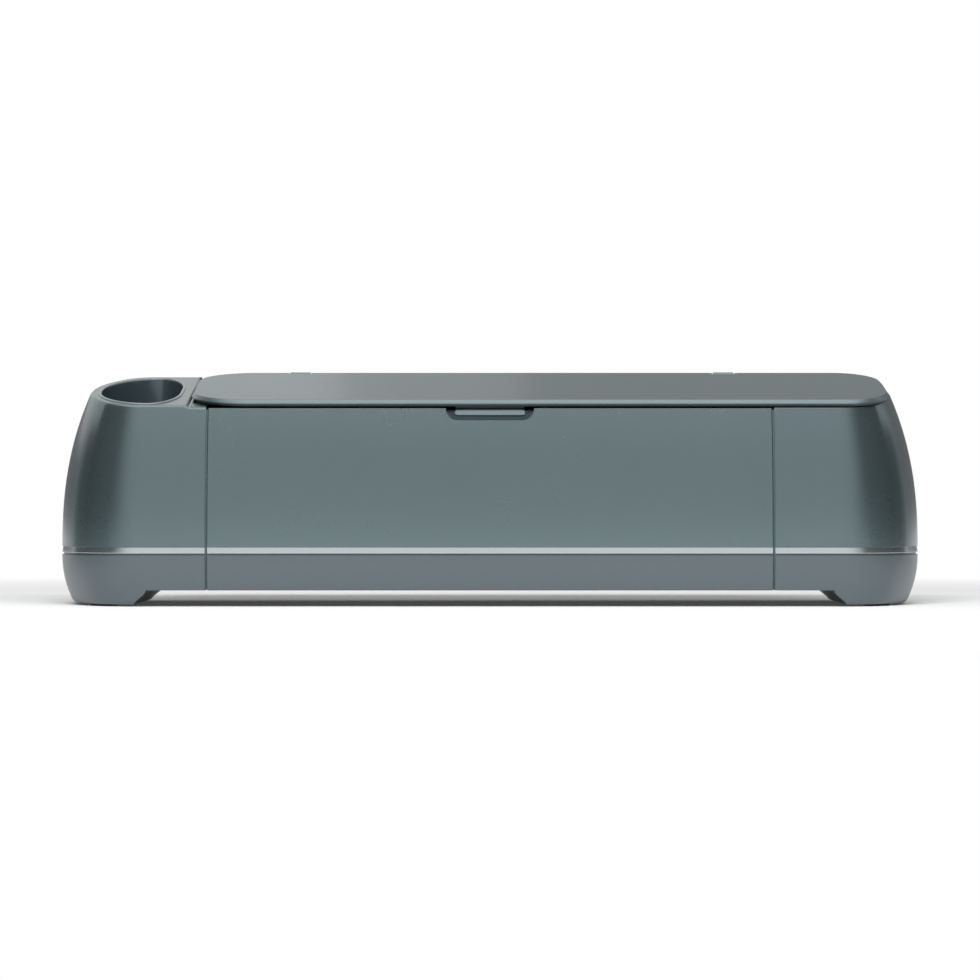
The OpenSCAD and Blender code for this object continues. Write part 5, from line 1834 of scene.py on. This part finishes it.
@dataclass(frozen=True)
class Lamp:
    """An area lamp."""

    name: str
    spot: Point
    aim: Point
    size: tuple[float, float]
    watts: float
    glossy_only: bool = False

    def hang(self) -> None:
        """Adds the lamp, which shows only in reflections if glossy_only, and otherwise in none."""
        data = bpy.data.lights.new(self.name, "AREA")
        data.shape = "RECTANGLE"
        data.energy = self.watts
        data.size, data.size_y = self.size
        obj = bpy.data.objects.new(self.name, data)
        bpy.context.scene.collection.objects.link(obj)
        obj.location = self.spot
        away = Vector(self.aim) - Vector(self.spot)
        obj.rotation_euler = away.to_track_quat("-Z", "Y").to_euler()
        obj.visible_camera = False
        obj.visible_glossy = self.glossy_only
        obj.visible_diffuse = not self.glossy_only


def strip_lamp(name: str, x: float, y: float, wide: float, watts: float) -> Lamp:
    """A light strip behind the left, which the lid's top reflects."""
    return Lamp(name, (x, y, 0.50), (x, 0.0, 0.17), (wide, 0.5), watts, glossy_only=True)


@dataclass
class Studio:
    """Floor, lights and camera."""

    eye: Point = (0.0, -3.0, 0.0763)
    lens: float = 163.9
    sensor: float = 36.0
    round_stops: tuple[tuple[float, float], ...] = (
        (0.000, 0.20),
        (0.120, 0.20),
        (0.150, 0.80),
        (0.180, 0.80),
        (0.215, 0.04),
        (0.830, 0.04),
        (0.950, 0.60),
        (1.000, 0.68),
    )
    crown_span: tuple[float, float] = (0.76, 0.93)
    crown_level: float = 1.7
    diffuse_span: tuple[float, float] = (-0.4, 0.9)
    diffuse_back: float = 0.04
    diffuse_front: float = 0.80
    flag_x: float = 0.95
    flag_y: tuple[float, float] = (-0.55, 0.62)
    flag_z: float = 0.35
    floor_near: float = 0.52
    floor_far: float = 0.95
    # A faint glow on the near floor for camera and glossy rays: painted light that lightens the object's
    # shadow there.
    floor_lift: float = 0.05
    floor_x: tuple[float, float] = (-30.0, 30.0)
    floor_y: tuple[float, float] = (-5.0, 60.0)
    lamps: tuple[Lamp, ...] = (
        strip_lamp("soft_strip_wide", -0.35, 0.95, 1.7, 0.41),
        strip_lamp("soft_strip_left", -0.62, 0.88, 0.98, 0.37),
        strip_lamp("soft_strip_middle", -0.49, 0.84, 1.04, 0.26),
        Lamp("soft_box_front", (-0.30, -2.2, 1.95), (0, 0, 0.06), (1.4, 0.6), 74.0),
        Lamp("soft_box_right", (0.9, -2.1, 1.85), (0, 0, 0.08), (1.0, 0.5), 24.0),
    )

    def build(self) -> None:
        """Sets up everything round the object."""
        self.world()
        self.floor()
        self.flags()
        for lamp in self.lamps:
            lamp.hang()
        self.camera()
        bpy.context.scene.view_settings.view_transform = "Standard"

    def world(self) -> None:
        """A surround that is white to the camera and reflects darker sides and a bright crown."""
        world = bpy.data.worlds.new("Studio surround")
        bpy.context.scene.world = world
        world.use_nodes = True
        world.node_tree.nodes.clear()
        w = Wiring(world.node_tree)
        path = w.node("ShaderNodeLightPath")
        seen = w.math("MAXIMUM", path.outputs["Is Camera Ray"], path.outputs["Is Transmission Ray"])
        way = w.node("ShaderNodeSeparateXYZ")
        w.join(w.node("ShaderNodeTexCoord").outputs["Generated"], way.inputs[0])
        x, y, z = way.outputs
        level_run = w.math("SQRT", w.math("ADD", w.math("MULTIPLY", x, x), w.math("MULTIPLY", y, y)))
        facing = w.math("SUBTRACT", 0.5, w.math("DIVIDE", y, w.math("MULTIPLY", level_run, 2.0)))
        around = w.node("ShaderNodeValToRGB")
        stops = around.color_ramp.elements
        while len(stops) < len(self.round_stops):
            stops.new(0.5)
        for stop, (place, level) in zip(stops, self.round_stops):
            stop.position = place
            stop.color = (level, level, level, 1.0)
        w.join(facing, around.inputs[0])
        overhead = w.ramp(z, 0.0, 1.0, self.crown_span)
        reflected = w.mix(overhead, around.outputs[0], self.crown_level)
        toward_front = w.math("MULTIPLY", y, -1.0)
        diffuse = w.ramp(
            toward_front, self.diffuse_back, self.diffuse_front, self.diffuse_span
        )
        lit = w.mix(path.outputs["Is Diffuse Ray"], reflected, diffuse)
        surround = w.node("ShaderNodeBackground")
        surround.inputs["Color"].default_value = (1, 1, 1, 1)
        w.join(w.mix(seen, lit, 1.0), surround.inputs["Strength"])
        w.join(surround.outputs[0], w.node("ShaderNodeOutputWorld").inputs["Surface"])

    def floor(self) -> None:
        """A pale floor that keeps the object's shadow and turns plain white further out."""
        draft = Draft()
        draft.grid([[(x, y, 0.0) for x in self.floor_x] for y in self.floor_y])
        obj = link("studio_floor", draft.mesh("studio_floor", (0, 0, -1)))
        material = bpy.data.materials.new("Pale floor")
        material.use_nodes = True
        w = Wiring(material.node_tree)
        shader = material.node_tree.nodes["Principled BSDF"]
        shader.inputs["Base Color"].default_value = (0.93, 0.932, 0.935, 1)
        shader.inputs["Roughness"].default_value = 0.6
        shader.inputs["Specular IOR Level"].default_value = 0.2
        path = w.node("ShaderNodeLightPath")
        seen = w.math("MAXIMUM", path.outputs["Is Camera Ray"], path.outputs["Is Glossy Ray"])
        seen = w.math("MAXIMUM", seen, path.outputs["Is Transmission Ray"])
        away = w.node("ShaderNodeVectorMath", operation="LENGTH")
        w.join(w.node("ShaderNodeTexCoord").outputs["Object"], away.inputs[0])
        far = w.ramp(away.outputs["Value"], self.floor_lift, 1.0, (self.floor_near, self.floor_far))
        glow = w.node("ShaderNodeEmission")
        glow.inputs["Color"].default_value = (1, 1, 1, 1)
        mix = w.node("ShaderNodeMixShader")
        w.join(w.math("MULTIPLY", far, seen), mix.inputs[0])
        w.join(shader.outputs["BSDF"], mix.inputs[1])
        w.join(glow.outputs[0], mix.inputs[2])
        w.join(mix.outputs[0], material.node_tree.nodes["Material Output"].inputs["Surface"])
        obj.data.materials.append(material)

    def flags(self) -> None:
        """Dark flags at both sides, which only the rounded ends reflect."""
        material = bpy.data.materials.new("Flag cloth")
        material.use_nodes = True
        shader = material.node_tree.nodes["Principled BSDF"]
        shader.inputs["Base Color"].default_value = (0.03, 0.04, 0.042, 1)
        shader.inputs["Roughness"].default_value = 1.0
        shader.inputs["Specular IOR Level"].default_value = 0.0
        for side, name in ((-1, "flag_left"), (1, "flag_right")):
            draft = Draft()
            x, (y0, y1), high = side * self.flag_x, self.flag_y, self.flag_z
            draft.cap(draft.add([(x, y0, 0.0), (x, y1, 0.0), (x, y1, high), (x, y0, high)]))
            obj = link(name, draft.mesh(name))
            obj.data.materials.append(material)
            obj.visible_camera = False
            obj.visible_diffuse = False
            obj.visible_shadow = False
            obj.visible_transmission = False

    def camera(self) -> None:
        """The level camera in front of the machine."""
        data = bpy.data.cameras.new("front_camera")
        data.lens = self.lens
        data.sensor_width = self.sensor
        data.clip_end = 40.0
        obj = bpy.data.objects.new("front_camera", data)
        bpy.context.scene.collection.objects.link(obj)
        obj.location = self.eye
        obj.rotation_euler = (math.pi / 2, 0.0, 0.0)
        bpy.context.scene.camera = obj


# ---------------------------------------------------------------- carried-over nodes

CARRIED: dict[Finish, tuple[str, ...]] = {
    Coat.GLOSS: ("button_panel",),
    Coat.LENS: ("status_light",),
    Coat.BOARD: ("button_board", "control_board"),
    Coat.SCREW: ("lid_hinge_pins", "door_hinge_pins"),
    Coat.DARK_AND_GAP_SHADE: ("port_plate", "power_inlet"),
    Coat.SOCKET: ("data_socket",),
    Coat.FRAME: ("left_frame", "right_frame", "idler_bracket", "gear_bracket", "motor_shelf"),
    Coat.CUP: ("front_platen", "rear_platen"),
    Coat.BRONZE: ("roller_bearings",),
    Coat.RAIL: ("carriage_rail", "feed_roller", "idler_pulley"),
    Coat.GROUND: ("guide_rod", "pinch_shaft"),
    Coat.BELT: ("drive_belt",),
    Coat.MOTOR: ("feed_motor", "carriage_motor"),
    Coat.KEY: ("power_button", "load_button", "pause_button"),
    Coat.GO: ("go_button",),
    Coat.GRIT: ("grit_sleeves",),
    Coat.NYLON: ("roller_gear",),
    Coat.BRASS: ("motor_pinion", "drive_pulley", "blade_spindle"),
    Coat.ROLL: ("pinch_rollers",),
    Coat.WHITE: ("star_wheels",),
}


def dress_carried() -> None:
    """Gives every CAD node that still shows its finish."""
    for finish, nodes in CARRIED.items():
        for node in nodes:
            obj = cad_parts[node]
            if not obj.hide_render:
                dress(obj, finish)


def main() -> None:
    """Builds the sub-assemblies in order, then the studio."""
    logging.basicConfig(level=logging.INFO, format="%(message)s")
    for part in (Shell(), Lid(), Door(), Hardware(), Keys()):
        LOG.info("building %s", type(part).__name__)
        part.build()
    soften_moulded()
    dress_carried()
    Studio().build()


if __name__ == "__main__":
    main()
